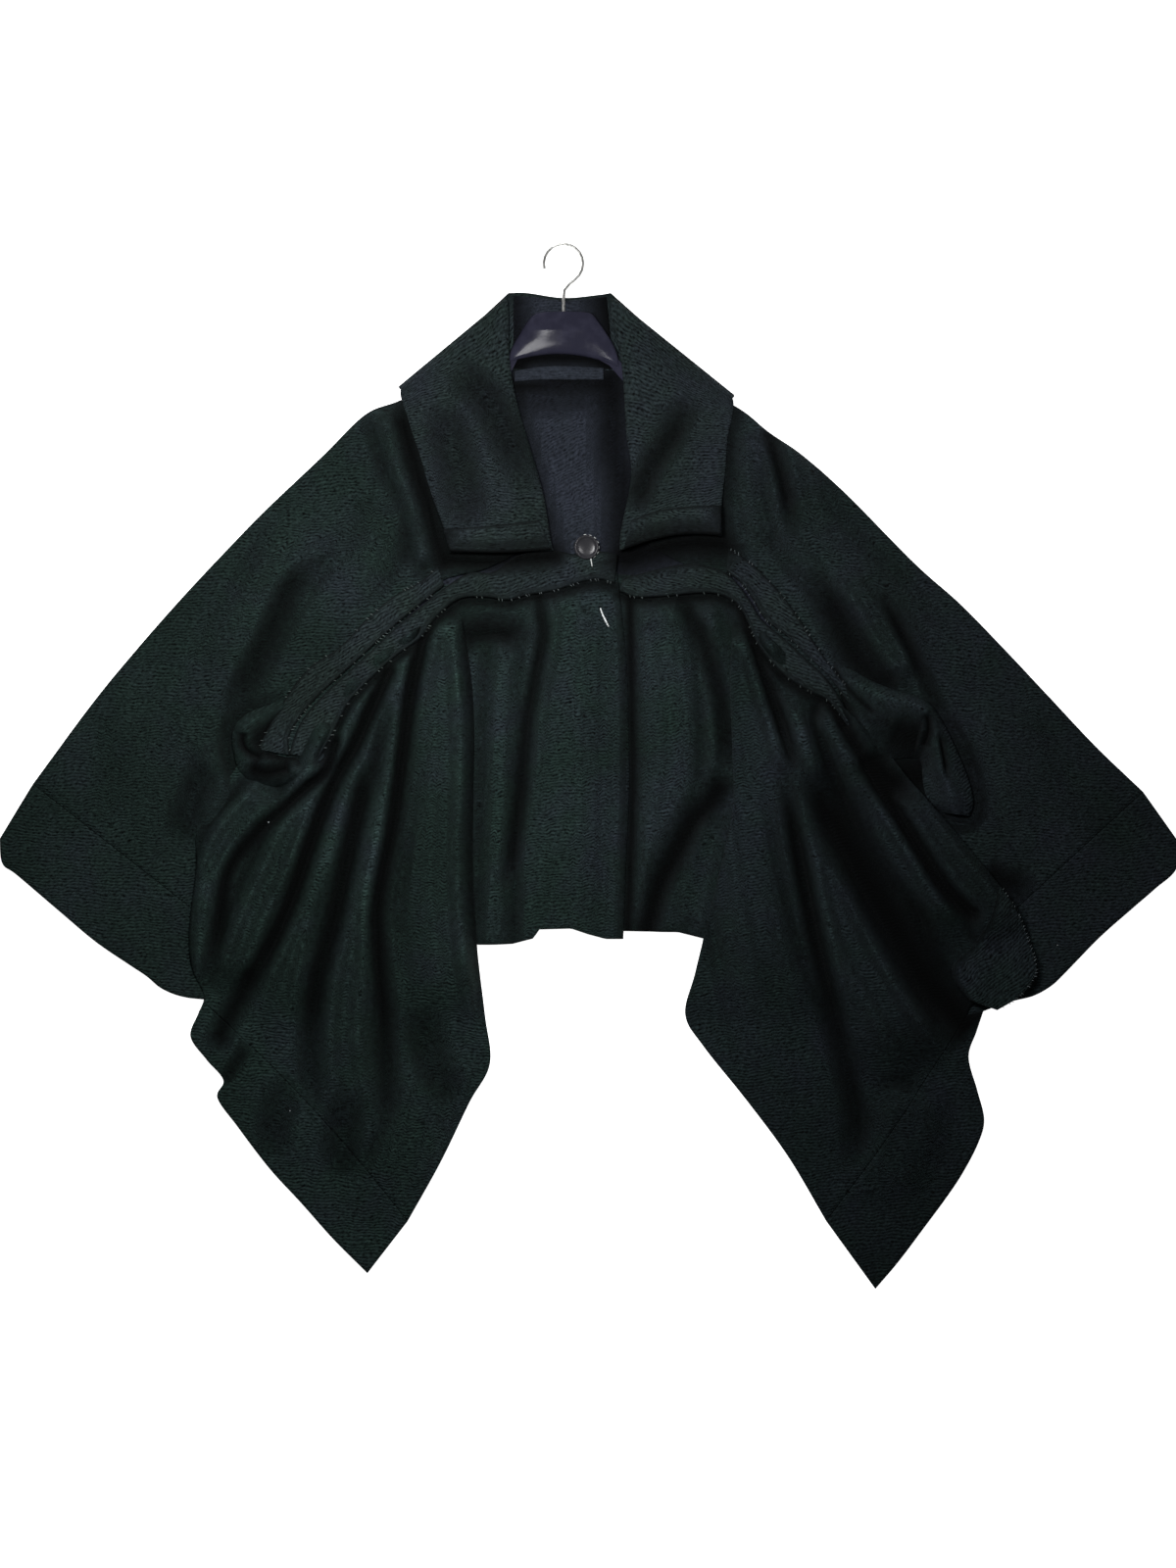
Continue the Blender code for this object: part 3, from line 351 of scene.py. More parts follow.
CREASES_SLIT_LEFT = rows_of(Crease, [
    ("crescent", [(-350, 446), (-351, 458), (-344, 468), (-330, 474)], 1.0, 5, 4, 0.1, 0.1),
    ("hollow", [(-348, 480), (-328, 488), (-300, 482)], 1.0, 9, 9, 0.2, 0.1),
    ("inner_line", [(-306, 422), (-320, 436), (-329, 449), (-334, 460)], 0.85, 2.5, 2.5),
])
CREASES_SLIT_RIGHT = rows_of(Crease, [
    ("attached", [(244, 376), (256, 404), (268, 436), (288, 478)], 0.95, 4, 5),
    ("inner_line", [(252, 386), (270, 408), (296, 432)], 0.8, 2.5, 2.5, 0.0, 0.2),
    ("hollow", [(306, 444), (322, 450), (338, 454)], 0.85, 17, 15, 0.3, 0.1),
    ("roll_end", [(344, 426), (347, 444), (342, 464)], 1.0, 4, 4, 0.2, 0.1),
    ("tube_slit", [(356, 444), (361, 470), (366, 498)], 1.0, 2.5, 3, 0.35, 0.3),
])
# Painted shade on the flat collar stand: at its sides and under the hanger's boss
PAINTED_SHADE_STAND = rows_of(Crease, [
    ("left_side", [(-82, 0), (-76, 40), (-74, 80)], 0.85, 14, 14),
    ("right_side", [(22, 2), (26, 30), (34, 76)], 1.0, 17, 17),
    ("under_hanger", [(-82, 76), (-57, 66), (-26, 65), (4, 67), (34, 80)], 1.0, 8, 8),
])
CAST_SHADOWS = rows_of(Crease, [
    ("under_left_end", [(-142, 272), (-110, 274), (-80, 273), (-34, 269)], 0.95, 7, 9),
    ("under_right_end", [(138, 255), (100, 254), (66, 261), (34, 269)], 1.0, 10, 15),
])
YOKE_SHADOWS = rows_of(Crease, [
    (name, [(row.in_x, row.in_drop + 3) for row in rows], 0.85, 4.5, 4.5)
    for name, rows in (("under_yoke_left", YOKE_LOWER_LEFT), ("under_yoke_right", YOKE_LOWER_RIGHT))
])
# Painted shade on the back's inside: beside the right facing, under and below the neck tape, and at the left
PAINTED_SHADE_INSIDE = rows_of(Crease, [
    ("right_facing", [(26, 60), (25, 110), (27, 158), (36, 200), (38, 262)], 0.88, 15, 15),
    ("under_tape", [(-78, 93), (-25, 91), (22, 90)], 1.0, 6, 6),
    ("below_tape", [(-78, 104), (-25, 102), (22, 101)], 0.55, 13, 13),
    ("left_side", [(-80, 60), (-72, 120), (-56, 190), (-36, 262)], 0.6, 9, 9),
])
CREASES_COLLAR_LEFT = rows_of(Crease, [
    ("slanted", [(-140, 74), (-104, 104), (-78, 150), (-56, 205)], 0.7, 15, 11, 0.3, 0.3),
    ("lengthwise", [(-152, 108), (-138, 156), (-128, 200), (-118, 240)], 0.55, 15, 15, 0.25, 0.25),
])
CREASES_COLLAR_RIGHT = rows_of(Crease, [
    ("slanted", [(108, 104), (90, 142), (66, 180), (48, 222)], 0.9, 11, 7, 0.35, 0.15),
])
ROLL_FALL = 2.2
COLLAR_HEM_CURVE = 7.5
# Painted shade over the turned band, darker along its fold
BAND_SHADE = 0.14
BAND_FOLD_SHADE = 0.5
BAND_FOLD_REACH = 3.0

# Where a layer is lifted or let down: smoothly from a place in plan over a length, which may run backwards
BACK_LIFT_LEFT = Ramp(-236, 34)
BACK_LIFT_RIGHT = Ramp(196, -34)
BACK_LIFT_LOW = Ramp(176, -44)
SHOULDER_LEFT = Ramp(-300, 60)
SHOULDER_RIGHT = Ramp(260, -60)
SHOULDER_LOW = Ramp(238, -62)
CROSSING = Ramp(-46, 26)
BESIDE_LEFT_DRAPE = Ramp(-122, 20)
BESIDE_CLOSURE = Ramp(46, 14)
RIGHT_DRAPE_EDGE = 144
RIGHT_DRAPE_EDGE_LOW = 110
RIGHT_DRAPE_TURN = Ramp(500, 130)
BESIDE_DRAPE = 20
HEM_MIDDLE = 698
HEM_SIDE = 756
HEM_TURN = Ramp(270, 90)
HEM_DROP = 50

# A grid's rows to each step of its table, and its points across
BACK_GRID = (8, 70)
WING_GRID = (15, 76)
FRONT_LEFT_GRID = (18, 110)
FRONT_RIGHT_GRID = (18, 90)
DRAPE_GRID = (14, 120)
TURNED_BAND_GRID = (8, 22)
SLIT_GRID = (14, 41)
STAND_GRID = (10, 30)

# The other grids: rows in all, and for the collar its rows in each front, each bend and the back
CUFF_ROWS = 20
DRAPE_HEM_ROWS = 18
TAPE_ROWS = 45
TAPE_POINTS = 8
COLLAR_ROWS = (72, 10, 40)
COLLAR_POINTS = 36
BOSS_ROWS = 81
BOSS_POINTS = 91

# Turns of the knit's courses in degrees, where a piece isn't cut along the body
CENTRE_LEFT_TURN = 6
TURNED_BAND_TURN = 40
SLIT_TURN = 35

# Forms of the thin shells
DRIFT = 1.3
SHOULDER_ROLL = 14
HEM_EASE = 4
PATH_STEPS = 6
STEEPEST = 2.2
ARCH_FULLNESS = 0.6
LIP_FULLNESS = 0.8
TAPE_THICK = 1.2
STRIP_COLUMNS = 21
STRIP_CROWDING = 0.1
RIDGE_FROM_EDGE = 2.8
RIDGE_WIDTH = 1.6
UPPER_SEAM_SHARE = 0.75
# Where the painted shade starts and grows down into a slit, and the width of the painted highlight on its lip
SLIT_SHADE_START = 0.12
SLIT_SHADE_LENGTH = 0.35
SLIT_CREST_WIDTH = 0.14
COLLAR_HEM_REACH = 9.0
ROLL_SHARE = 0.06
BEND_BULGE = 0.8
LEFT_WRAP = (-0.69, -0.72)
RIGHT_WRAP = (0.66, -0.75)
# Painted shade in the collar's creases, and how much paler the whole collar is
COLLAR_CREASE_SHADE = 0.95
COLLAR_PALER = 0.1
COLLAR_END_CROWN = 1.4
COLLAR_END_SPACING = 1.6
BAND_LOFT = 4

# Overlock threads that cross a seam
STITCH_SPACING = 4.2
STITCH_REACH = 3.0
STITCH_JITTER = 0.3
STITCH_LEAN = (0.2, 0.8)
STITCH_HALF = (0.3, 0.55)
STITCH_RADIUS = 0.3
STITCH_SIDES = 5
STITCH_LIFT = 0.3
STITCH_PLACES = ((-1, -0.5), (-0.4, 0.35), (0.4, 0.35), (1, -0.5))
FIRST_SEED = 20

# Button and loose thread
BUTTON_X = -1.5
BUTTON_DROP = 259.0
BUTTON_PROFILE = [
    (0.0, 0.0), (11.4, 0.0), (12.2, 0.5), (12.5, 1.4), (12.5, 2.6), (12.2, 3.4), (11.5, 3.9), (10.7, 3.9),
    (10.0, 3.5), (9.2, 2.9), (8.0, 2.6), (5.0, 2.4), (0.0, 2.3),
]
BUTTON_SIDES = 72
BUTTON_RINGS = 60
BUTTON_THREAD = [(2.4, 269, 1.2), (3.2, 273, 1.6), (4.6, 281, 0.4)]
BUTTON_THREAD_RADIUS = 0.6
LOOSE_THREAD = [(12.5, 321, 0), (14.5, 327, 0.7), (17.5, 333, 0.6), (21, 340, 0)]
LOOSE_THREAD_RADIUS = 0.9
LOOSE_THREAD_SPOT = (17.0, 330.0)

# Pale dashes along part of the button's rim: first and last angle, and how many
BUTTON_DASHES = (-1.7, 0.9, 7)
BUTTON_DASH = 0.2
DASH_AWAY = 12.7
DASH_LIFT = 1.0
DASH_RADIUS = 0.4

# The hanger's boss
HANGER_BOSS = rows_of(Section, [
    (-46, 19.5, -3, 19.5, -1), (-55, 22, 5, 22), (-63, 31, 12, 31), (-69, 41, 19, 41),
    (-76, 53, 27, 55, -3), (-80, 63, 31, 67, -7), (-81, 71, 32, 76, -11),
])
BOSS_RISE = 6.2
BOSS_LIP = 0.1
BOSS_CROWN = 0.4
BOSS_BEVEL = 0.5
BOSS_HEAD = 0.08
BOSS_SQUARE = 12
BOSS_BEVEL_START = 0.45
BOSS_TRIM = 0.3
BOSS_SUNK = 1.0

# The knit's courses and stitches in metres, and the scales of its noises
COURSE = 0.0033
STITCH = 0.0024
WAVER = 0.012
WAVE_UNIT = 2 * math.pi / 20
FUZZ_SCALE = 900.0
DASH_SCALE = (270.0, 600.0, 1.0)
CLUMP_SCALE = 190.0
SWIRL_SCALE = 34.0
PATCH_SCALE = 34.0
BROAD_SCALE = 9.0
LINT_SCALE = 46.0
LINT_SIZE = 0.026
LINT_SHARE = 0.05
LINT_COLOUR = (0.32, 0.34, 0.36, 1)

# Floor, light and camera
FLOOR_HALF = 6.0
FLOOR_LEVEL = -0.0005
FLOOR_TONES = ((0.93, 0.93, 0.93, 1), (0.95, 0.95, 0.95, 1))
FLOOR_GLOW = 1.0
SKY_POWER = 0.17
LIGHTS = rows_of(Light, [
    ("key", (-0.17, 0.34, 0.88), 0.16, 11.2),
    ("side", (0.125, 0.34, 0.88), 0.11, 2.8),
    ("top", (-0.3, 1.8, 1.2), 0.8, 7.0),
])
CAMERA_HEIGHT = 4.0
SENSOR = 36.0
FRAME_TALL = 1.6
VIEW_DROP = 500

# Each piece's cut size and area, how it is held, and what it lies on
SHEETS = rows_of(Sheet, [
    ("back", 1.20, 0.64, 0.492, "laid", ()),
    ("wing_front_left", 0.52, 0.60, 0.120, "laid", ("back",)),
    ("wing_front_right", 0.52, 0.62, 0.117, "laid", ("back",)),
    ("cuff_band_left", 0.34, 0.09, 0.023, "laid", ("back",)),
    ("cuff_band_right", 0.34, 0.09, 0.022, "laid", ("back",)),
    ("centre_front_left", 0.38, 0.38, 0.117, "gathered", ("back", "centre_front_right")),
    ("centre_front_right", 0.31, 0.38, 0.092, "gathered", ("back",)),
    ("drape_left", 0.40, 0.66, 0.151, "gathered", ("centre_front_left", "cuff_band_left")),
    ("drape_right", 0.42, 0.66, 0.134, "gathered", ("centre_front_right", "cuff_band_right")),
    ("drape_hem_left", 0.36, 0.08, 0.020, "laid", ()),
    ("drape_hem_right", 0.32, 0.08, 0.019, "laid", ()),
    ("turned_band_right", 0.13, 0.08, 0.0066, "folded", ("drape_right",)),
    ("yoke_lower_left", 0.40, 0.036, 0.0118, "laid", ("centre_front_left",)),
    ("yoke_upper_left", 0.26, 0.034, 0.0066, "laid", ("wing_front_left",)),
    ("yoke_lower_right", 0.30, 0.032, 0.0071, "laid", ("centre_front_right",)),
    ("yoke_upper_right", 0.22, 0.026, 0.0042, "laid", ("wing_front_right",)),
    ("slit_edge_left", 0.17, 0.05, 0.0056, "folded", ("wing_front_left",)),
    ("slit_edge_right", 0.22, 0.08, 0.0119, "folded", ("wing_front_right",)),
    ("collar", 0.80, 0.12, 0.076, "folded", ("wing_front_left", "wing_front_right")),
    ("collar_stand", 0.105, 0.078, 0.0073, "laid", ("back",)),
    ("collar_end_left", 0.11, 0.031, 0.0031, "laid", ("collar",)),
    ("collar_end_right", 0.10, 0.033, 0.0030, "laid", ("collar",)),
    ("neck_tape", 0.092, 0.014, 0.0012, "laid", ("back",)),
])


def smooth(share):
    """Rises gently from 0 to 1."""
    share = np.clip(share, 0.0, 1.0)
    return share * share * (3.0 - 2.0 * share)


def rise(value, ramp):
    return smooth((value - ramp.start) / ramp.length)


def through(rows, count):
    """The given number of rows on a smooth curve through the table's rows."""
    rows = np.array([tuple(row) for row in rows], float)
    padded = np.vstack([2 * rows[0] - rows[1], rows, 2 * rows[-1] - rows[-2]])
    place = np.linspace(0, len(rows) - 1, count)
    start = np.minimum(place.astype(int), len(rows) - 2)
    t = (place - start)[:, None]
    before, here, following, after = (padded[start + k] for k in range(4))
    return 0.5 * (
        2 * here
        + (following - before) * t
        + (2 * before - 5 * here + 4 * following - after) * t**2
        + (3 * here - before - 3 * following + after) * t**3
    )


def unit(vectors):
    return vectors / np.maximum(np.linalg.norm(vectors, axis=-1, keepdims=True), 1e-9)


def loft(sections, rows, shares):
    """The plan of a panel: a row of points across each section, from its outer end to its inner one."""
    table = through(sections, rows)
    outer, inner, bow = table[:, 0:2], table[:, 2:4], table[:, 4]
    across = inner - outer
    side = unit(np.stack([-across[:, 1], across[:, 0]], 1))
    share = np.linspace(0, 1, shares) if isinstance(shares, int) else shares
    share = share[None, :, None]
    bulge = (bow[:, None] * 4 * share[..., 0] * (1 - share[..., 0]))[..., None]
    return outer[:, None] + across[:, None] * share + side[:, None] * bulge


def fine(table, each):
    """The rows of a loft that has so many to each step of its table."""
    return (len(table) - 1) * each + 1


def lofted(table, grid):
    return loft(table, fine(table, grid[0]), grid[1])


def outer_edge(table):
    return [(row.out_x, row.out_drop) for row in table]


def inner_edge(table):
    return [(row.in_x, row.in_drop) for row in table]


def band(inner_row, hem, rows):
    """The plan of a hem band between a panel's last row and the hem's points."""
    outer_row = through(hem, len(inner_row))
    share = np.linspace(0, 1, rows)[:, None, None]
    return inner_row[None] * (1 - share) + outer_row[None] * share


def with_hem(plan, hem):
    """The plan with its last row moved onto the hem's points, and the rows above eased towards it."""
    plan = plan.copy()
    shift = np.interp(plan[-1, :, 0], *zip(*hem)) - plan[-1, :, 1]
    share = np.linspace(0, 1, len(plan))[:, None]
    plan[..., 1] += shift * share**HEM_EASE
    return plan


def trimmed(plan, amount):
    """The plan with each border moved in."""
    plan = plan.copy()
    for border, inside in ((0, 1), (-1, -2)):
        plan[border] += amount * unit(plan[inside] - plan[border])
        plan[:, border] += amount * unit(plan[:, inside] - plan[:, border])
    return plan


def along(path, x, drop):
    """How far each point lies to the right of a smooth line, and its share of the way along it."""
    line = through(path, PATH_STEPS * len(path))
    nearest = np.full(x.shape, np.inf)
    offset = np.zeros(x.shape)
    share = np.zeros(x.shape)
    steps = len(line) - 1
    for k in range(steps):
        start, step = line[k], line[k + 1] - line[k]
        from_x, from_drop = x - start[0], drop - start[1]
        t = np.clip((from_x * step[0] + from_drop * step[1]) / (step @ step), 0, 1)
        away = np.hypot(from_x - t * step[0], from_drop - t * step[1])
        closer = away < nearest
        nearest = np.where(closer, away, nearest)
        right = np.sign(from_x * step[1] - from_drop * step[0])
        offset = np.where(closer, away * right, offset)
        share = np.where(closer, (k + t) / steps, share)
    return offset, share


def faded(row, share):
    """The share of a fold or crease that is left near its two ends."""
    left = np.ones(share.shape)
    if row.begin:
        left = left * smooth(share / row.begin)
    if row.end:
        left = left * smooth((1 - share) / row.end)
    return left


def crease_profile(crease, x, drop):
    """How much of the height a crease takes away at each point."""
    offset, share = along(crease.path, x, drop)
    width = np.where(offset > 0, crease.right, crease.left)
    return crease.depth * np.exp(-((offset / width) ** 2)) * faded(crease, share)


def relief(folds, creases, x, drop):
    """The height that the folds add: a soft union of their broad ridges, cut by the creases."""
    total = np.zeros(x.shape)
    for fold in folds:
        offset, share = along(fold.path, x, drop)
        reach = np.where(offset > 0, fold.right, fold.left)
        height = fold.height * smooth(BROAD * (1 - np.abs(offset) / reach)) * faded(fold, share)
        total += height**3
    total = np.cbrt(total)
    for crease in creases:
        total = total * (1 - crease_profile(crease, x, drop))
    return total


def crease_shade(crease, x, drop):
    """The painted shade of one crease at each point, 0 to 1, with a crisper edge than its own form."""
    offset, share = along(crease.path, x, drop)
    width = np.where(offset > 0, crease.right, crease.left) * CREASE_SHADE_WIDTH
    return crease.depth * np.exp(-(np.abs(offset / width) ** CREASE_SHADE_EDGE)) * faded(crease, share)


def hollow(creases, x, drop, shadows=()):
    """Painted shade, 0 to 1, by how deep in a crease, or how close beside an edge that stands over it, each
    point lies.
    """
    open_share = np.ones(x.shape)
    for crease in [*creases, *shadows, *CAST_SHADOWS]:
        open_share *= 1 - crease_shade(crease, x, drop)
    for edge in COLLAR_FREE_EDGES:
        away = np.abs(along(edge, x, drop)[0])
        open_share *= 1 - COLLAR_SHADOW * np.exp(-((away / COLLAR_SHADOW_REACH) ** 2))
    return 1 - open_share


def shading(folds, creases, x, drop):
    """Painted shade: 1 deep in a crease and darker in the hollows between folds, and below 0, a painted
    highlight, on a fold's crest.
    """
    here = relief(folds, creases, x, drop)
    reach = CAVITY_REACH
    steps = ((reach, 0), (-reach, 0), (0, reach), (0, -reach))
    around = sum(relief(folds, creases, x + step[0], drop + step[1]) for step in steps) / len(steps)
    sunk = (around - here) / CAVITY_DEPTH
    soft = np.where(sunk > 0, VALLEY_SHADE * smooth(sunk), -CREST_HIGHLIGHT * smooth(-sunk))
    return 1 - (1 - hollow(creases, x, drop, YOKE_SHADOWS)) * (1 - soft)


def drift(x, drop):
    """The slight unevenness that every layer over the back shares, in waves of unlike lengths."""
    broad = np.sin(x / 41 + 1.3) * np.sin(drop / 53 + 0.4)
    slant = np.sin(x / 24 - drop / 37 + 2.1)
    small = np.sin(x / 13 + drop / 29 + 0.7) * np.sin(drop / 17 - x / 31)
    return DRIFT + 0.6 * broad + 0.4 * slant + 0.2 * small


def back_under(x, drop):
    """The back lies on the surface, lifted only where the collar's fall passes under it."""
    return LAYER * rise(x, BACK_LIFT_LEFT) * rise(x, BACK_LIFT_RIGHT) * rise(drop, BACK_LIFT_LOW)


def shoulder_rise(x, drop):
    """The front stands on the hanger's arms near the neck."""
    share = rise(x, SHOULDER_LEFT) * rise(x, SHOULDER_RIGHT) * rise(drop, SHOULDER_LOW)
    return (SHOULDER_LEVEL - FRONT_LEVEL) * share


def wing_under(folds, creases, shoulder_line):
    """The wing's height, which comes down to the back's at the fold along the shoulder."""

    def under(x, drop):
        clear = np.ones(np.shape(x))
        for spot in SLIT_SPOTS:
            clear = clear * smooth(np.hypot(x - spot.x, drop - spot.drop) / spot.reach)
        full = FRONT_LEVEL + shoulder_rise(x, drop) + relief(folds, creases, x, drop) * clear + drift(x, drop)
        edge = back_under(x, drop) + LAYER
        away = np.abs(along(shoulder_line, x, drop)[0])
        roll = np.sqrt(np.clip(1 - (1 - np.clip(away / SHOULDER_ROLL, 0, 1)) ** 2, 0, 1))
        return edge + (full - edge) * roll

    return under


def front_left_under(x, drop):
    """The left front crosses over the right one at the closure."""
    folds = relief(FOLDS_CENTRE_LEFT, CREASES_CENTRE_LEFT, x, drop) * rise(x, BESIDE_LEFT_DRAPE)
    return FRONT_LEVEL + LAYER * rise(x, CROSSING) + folds + drift(x, drop)


def front_right_under(x, drop):
    turned = rise(drop, RIGHT_DRAPE_TURN)
    edge = RIGHT_DRAPE_EDGE + (RIGHT_DRAPE_EDGE_LOW - RIGHT_DRAPE_EDGE) * turned
    clear = smooth((edge - x) / BESIDE_DRAPE) * rise(x, BESIDE_CLOSURE)
    folds = relief(FOLDS_CENTRE_RIGHT, CREASES_CENTRE_RIGHT, x, drop)
    return FRONT_LEVEL + folds * clear + drift(x, drop)


def drape_base(x, drop):
    """A drape lies over the fronts, and comes down to the surface past their hem."""
    hem = HEM_MIDDLE + (HEM_SIDE - HEM_MIDDLE) * rise(np.abs(x), HEM_TURN)
    return OVER_LEVEL * (1 - smooth((drop - hem) / HEM_DROP))


def below_yoke(sections, x, drop):
    """Lets the folds rise only once they are clear of the yoke's lower seam."""
    away = np.abs(along(inner_edge(sections), x, drop)[0])
    return smooth(away / YOKE_CLEAR)


def drape_left_under(x, drop):
    folds = relief(FOLDS_LEFT, CREASES_LEFT, x, drop) * below_yoke(YOKE_LOWER_LEFT, x, drop)
    return drape_base(x, drop) + folds + drift(x, drop)


def drape_right_under(x, drop):
    folds = relief(FOLDS_RIGHT, CREASES_RIGHT, x, drop) * below_yoke(YOKE_LOWER_RIGHT, x, drop)
    return drape_base(x, drop) + folds + drift(x, drop)


def world(x, drop, height):
    return np.stack([x, MIDDLE_DROP - drop, height], -1) * MM


def border_of(rows, columns):
    """The numbers of a grid's border points, in order round it."""
    border = list(range(columns))
    border += [i * columns + columns - 1 for i in range(1, rows)]
    border += [(rows - 1) * columns + j for j in range(columns - 2, -1, -1)]
    border += [i * columns for i in range(rows - 2, 0, -1)]
    return border


def grid_faces(rows, columns, first, turned):
    row, column = np.meshgrid(np.arange(rows - 1), np.arange(columns - 1), indexing="ij")
    a = first + row * columns + column
    faces = np.stack([a, a + 1, a + columns + 1, a + columns], -1).reshape(-1, 4)
    return faces[:, ::-1].tolist() if turned else faces.tolist()


def new_piece(name, points, faces, material, grain=None):
    """A smooth-shaded mesh piece that rides on the body, with its cloth's own coordinates in metres and its
    painted shade as their third number.
    """
    mesh = bpy.data.meshes.new(name)
    mesh.from_pydata(np.asarray(points).tolist(), [], faces)
    if grain is not None:
        stored = mesh.attributes.new("grain", "FLOAT_VECTOR", "POINT")
        stored.data.foreach_set("vector", np.asarray(grain, float).ravel())
    mesh.materials.append(material)
    mesh.shade_smooth()
    piece = bpy.data.objects.new(name, mesh)
    bpy.context.scene.collection.objects.link(piece)
    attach(piece, "root")
    return piece


def shell_between(name, low, high, rim, grain, material):
    """A closed thin shell between two grids, with a rounded rim round its border."""
    rows, columns = low.shape[:2]
    count = rows * columns
    border = border_of(rows, columns)
    length = len(border)
    ring = rim.reshape(-1, 3)[border]
    points = np.concatenate([low.reshape(-1, 3), high.reshape(-1, 3), ring])
    faces = grid_faces(rows, columns, 0, False) + grid_faces(rows, columns, count, True)
    for k, point in enumerate(border):
        following = (k + 1) % length
        other = border[following]
        ring_here, ring_next = 2 * count + k, 2 * count + following
        faces.append((other, point, ring_here, ring_next))
        faces.append((ring_next, ring_here, point + count, other + count))
    flat_grain = grain.reshape(-1, 3)
    stored = np.concatenate([flat_grain, flat_grain, flat_grain[border]])
    piece = new_piece(name, points, faces, material, stored)
    body = bmesh.new()
    body.from_mesh(piece.data)
    if body.calc_volume(signed=True) < 0:
        bmesh.ops.reverse_faces(body, faces=body.faces)
    body.to_mesh(piece.data)
    body.free()
    return piece


def planar_grain(plan, turn, creases=(), folds=()):
    """Cloth coordinates for a panel whose courses are turned from the horizontal, and its painted shade and
    highlights.
    """
    x, drop = plan[..., 0], plan[..., 1]
    angle = math.radians(turn)
    course = x * math.cos(angle) - drop * math.sin(angle)
    wale = x * math.sin(angle) + drop * math.cos(angle)
    return np.stack([course * MM, wale * MM, shading(folds, creases, x, drop)], -1)


def strip_grain(plan, turn):
    """Cloth coordinates for a sewn strip: painted shade in its two seams and beside the collar's ends, and a
    painted highlight on the lower seam's ridge.
    """
    grain = planar_grain(plan, turn)
    from_upper = np.linalg.norm(plan - plan[:, :1], axis=-1)
    from_lower = np.linalg.norm(plan - plan[:, -1:], axis=-1)
    lower, upper, ridge = (
        np.exp(-((away / SEAM_SHADE_REACH) ** 2)) for away in (from_lower, from_upper, from_lower - RIDGE_AT)
    )
    seam = lower + UPPER_SEAM_SHARE * upper
    lit = RIDGE_HIGHLIGHT * ridge
    dark = hollow((), plan[..., 0], plan[..., 1])
    grain[..., 2] = 1 - (1 - dark) * (1 - SEAM_SHADE * np.minimum(seam, 1)) - lit * (1 - dark)
    return grain


def cloth(name, plan, under, grain, material, thick=CLOTH):
    """A thin cloth shell whose underside follows a height over the plan."""
    inner = trimmed(plan, RIM)
    x, drop = inner[..., 0], inner[..., 1]
    low = under(x, drop)
    slope_x = (under(x + SLIVER, drop) - under(x - SLIVER, drop)) / (2 * SLIVER)
    slope_drop = (under(x, drop + SLIVER) - under(x, drop - SLIVER)) / (2 * SLIVER)
    high = low + thick * np.minimum(np.sqrt(1 + slope_x**2 + slope_drop**2), STEEPEST)
    rim = world(plan[..., 0], plan[..., 1], under(plan[..., 0], plan[..., 1]) + thick / 2)
    low, high = (world(x, drop, level) for level in (low, high))
    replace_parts(shell_between(name + "_cloth", low, high, rim, grain, material), name)


def shell_round(name, middle, grain, material):
    """A thin cloth shell half its thickness to each side of a middle surface, in millimetres."""
    along_rows = np.gradient(middle, axis=0)
    along_columns = np.gradient(middle, axis=1)
    normal = unit(np.cross(along_rows, along_columns))
    inner = trimmed(middle, RIM)
    low, high, rim = (
        world(grid[..., 0], grid[..., 1], grid[..., 2])
        for grid in (inner - normal * CLOTH / 2, inner + normal * CLOTH / 2, middle)
    )
    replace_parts(shell_between(name + "_cloth", low, high, rim, grain, material), name)


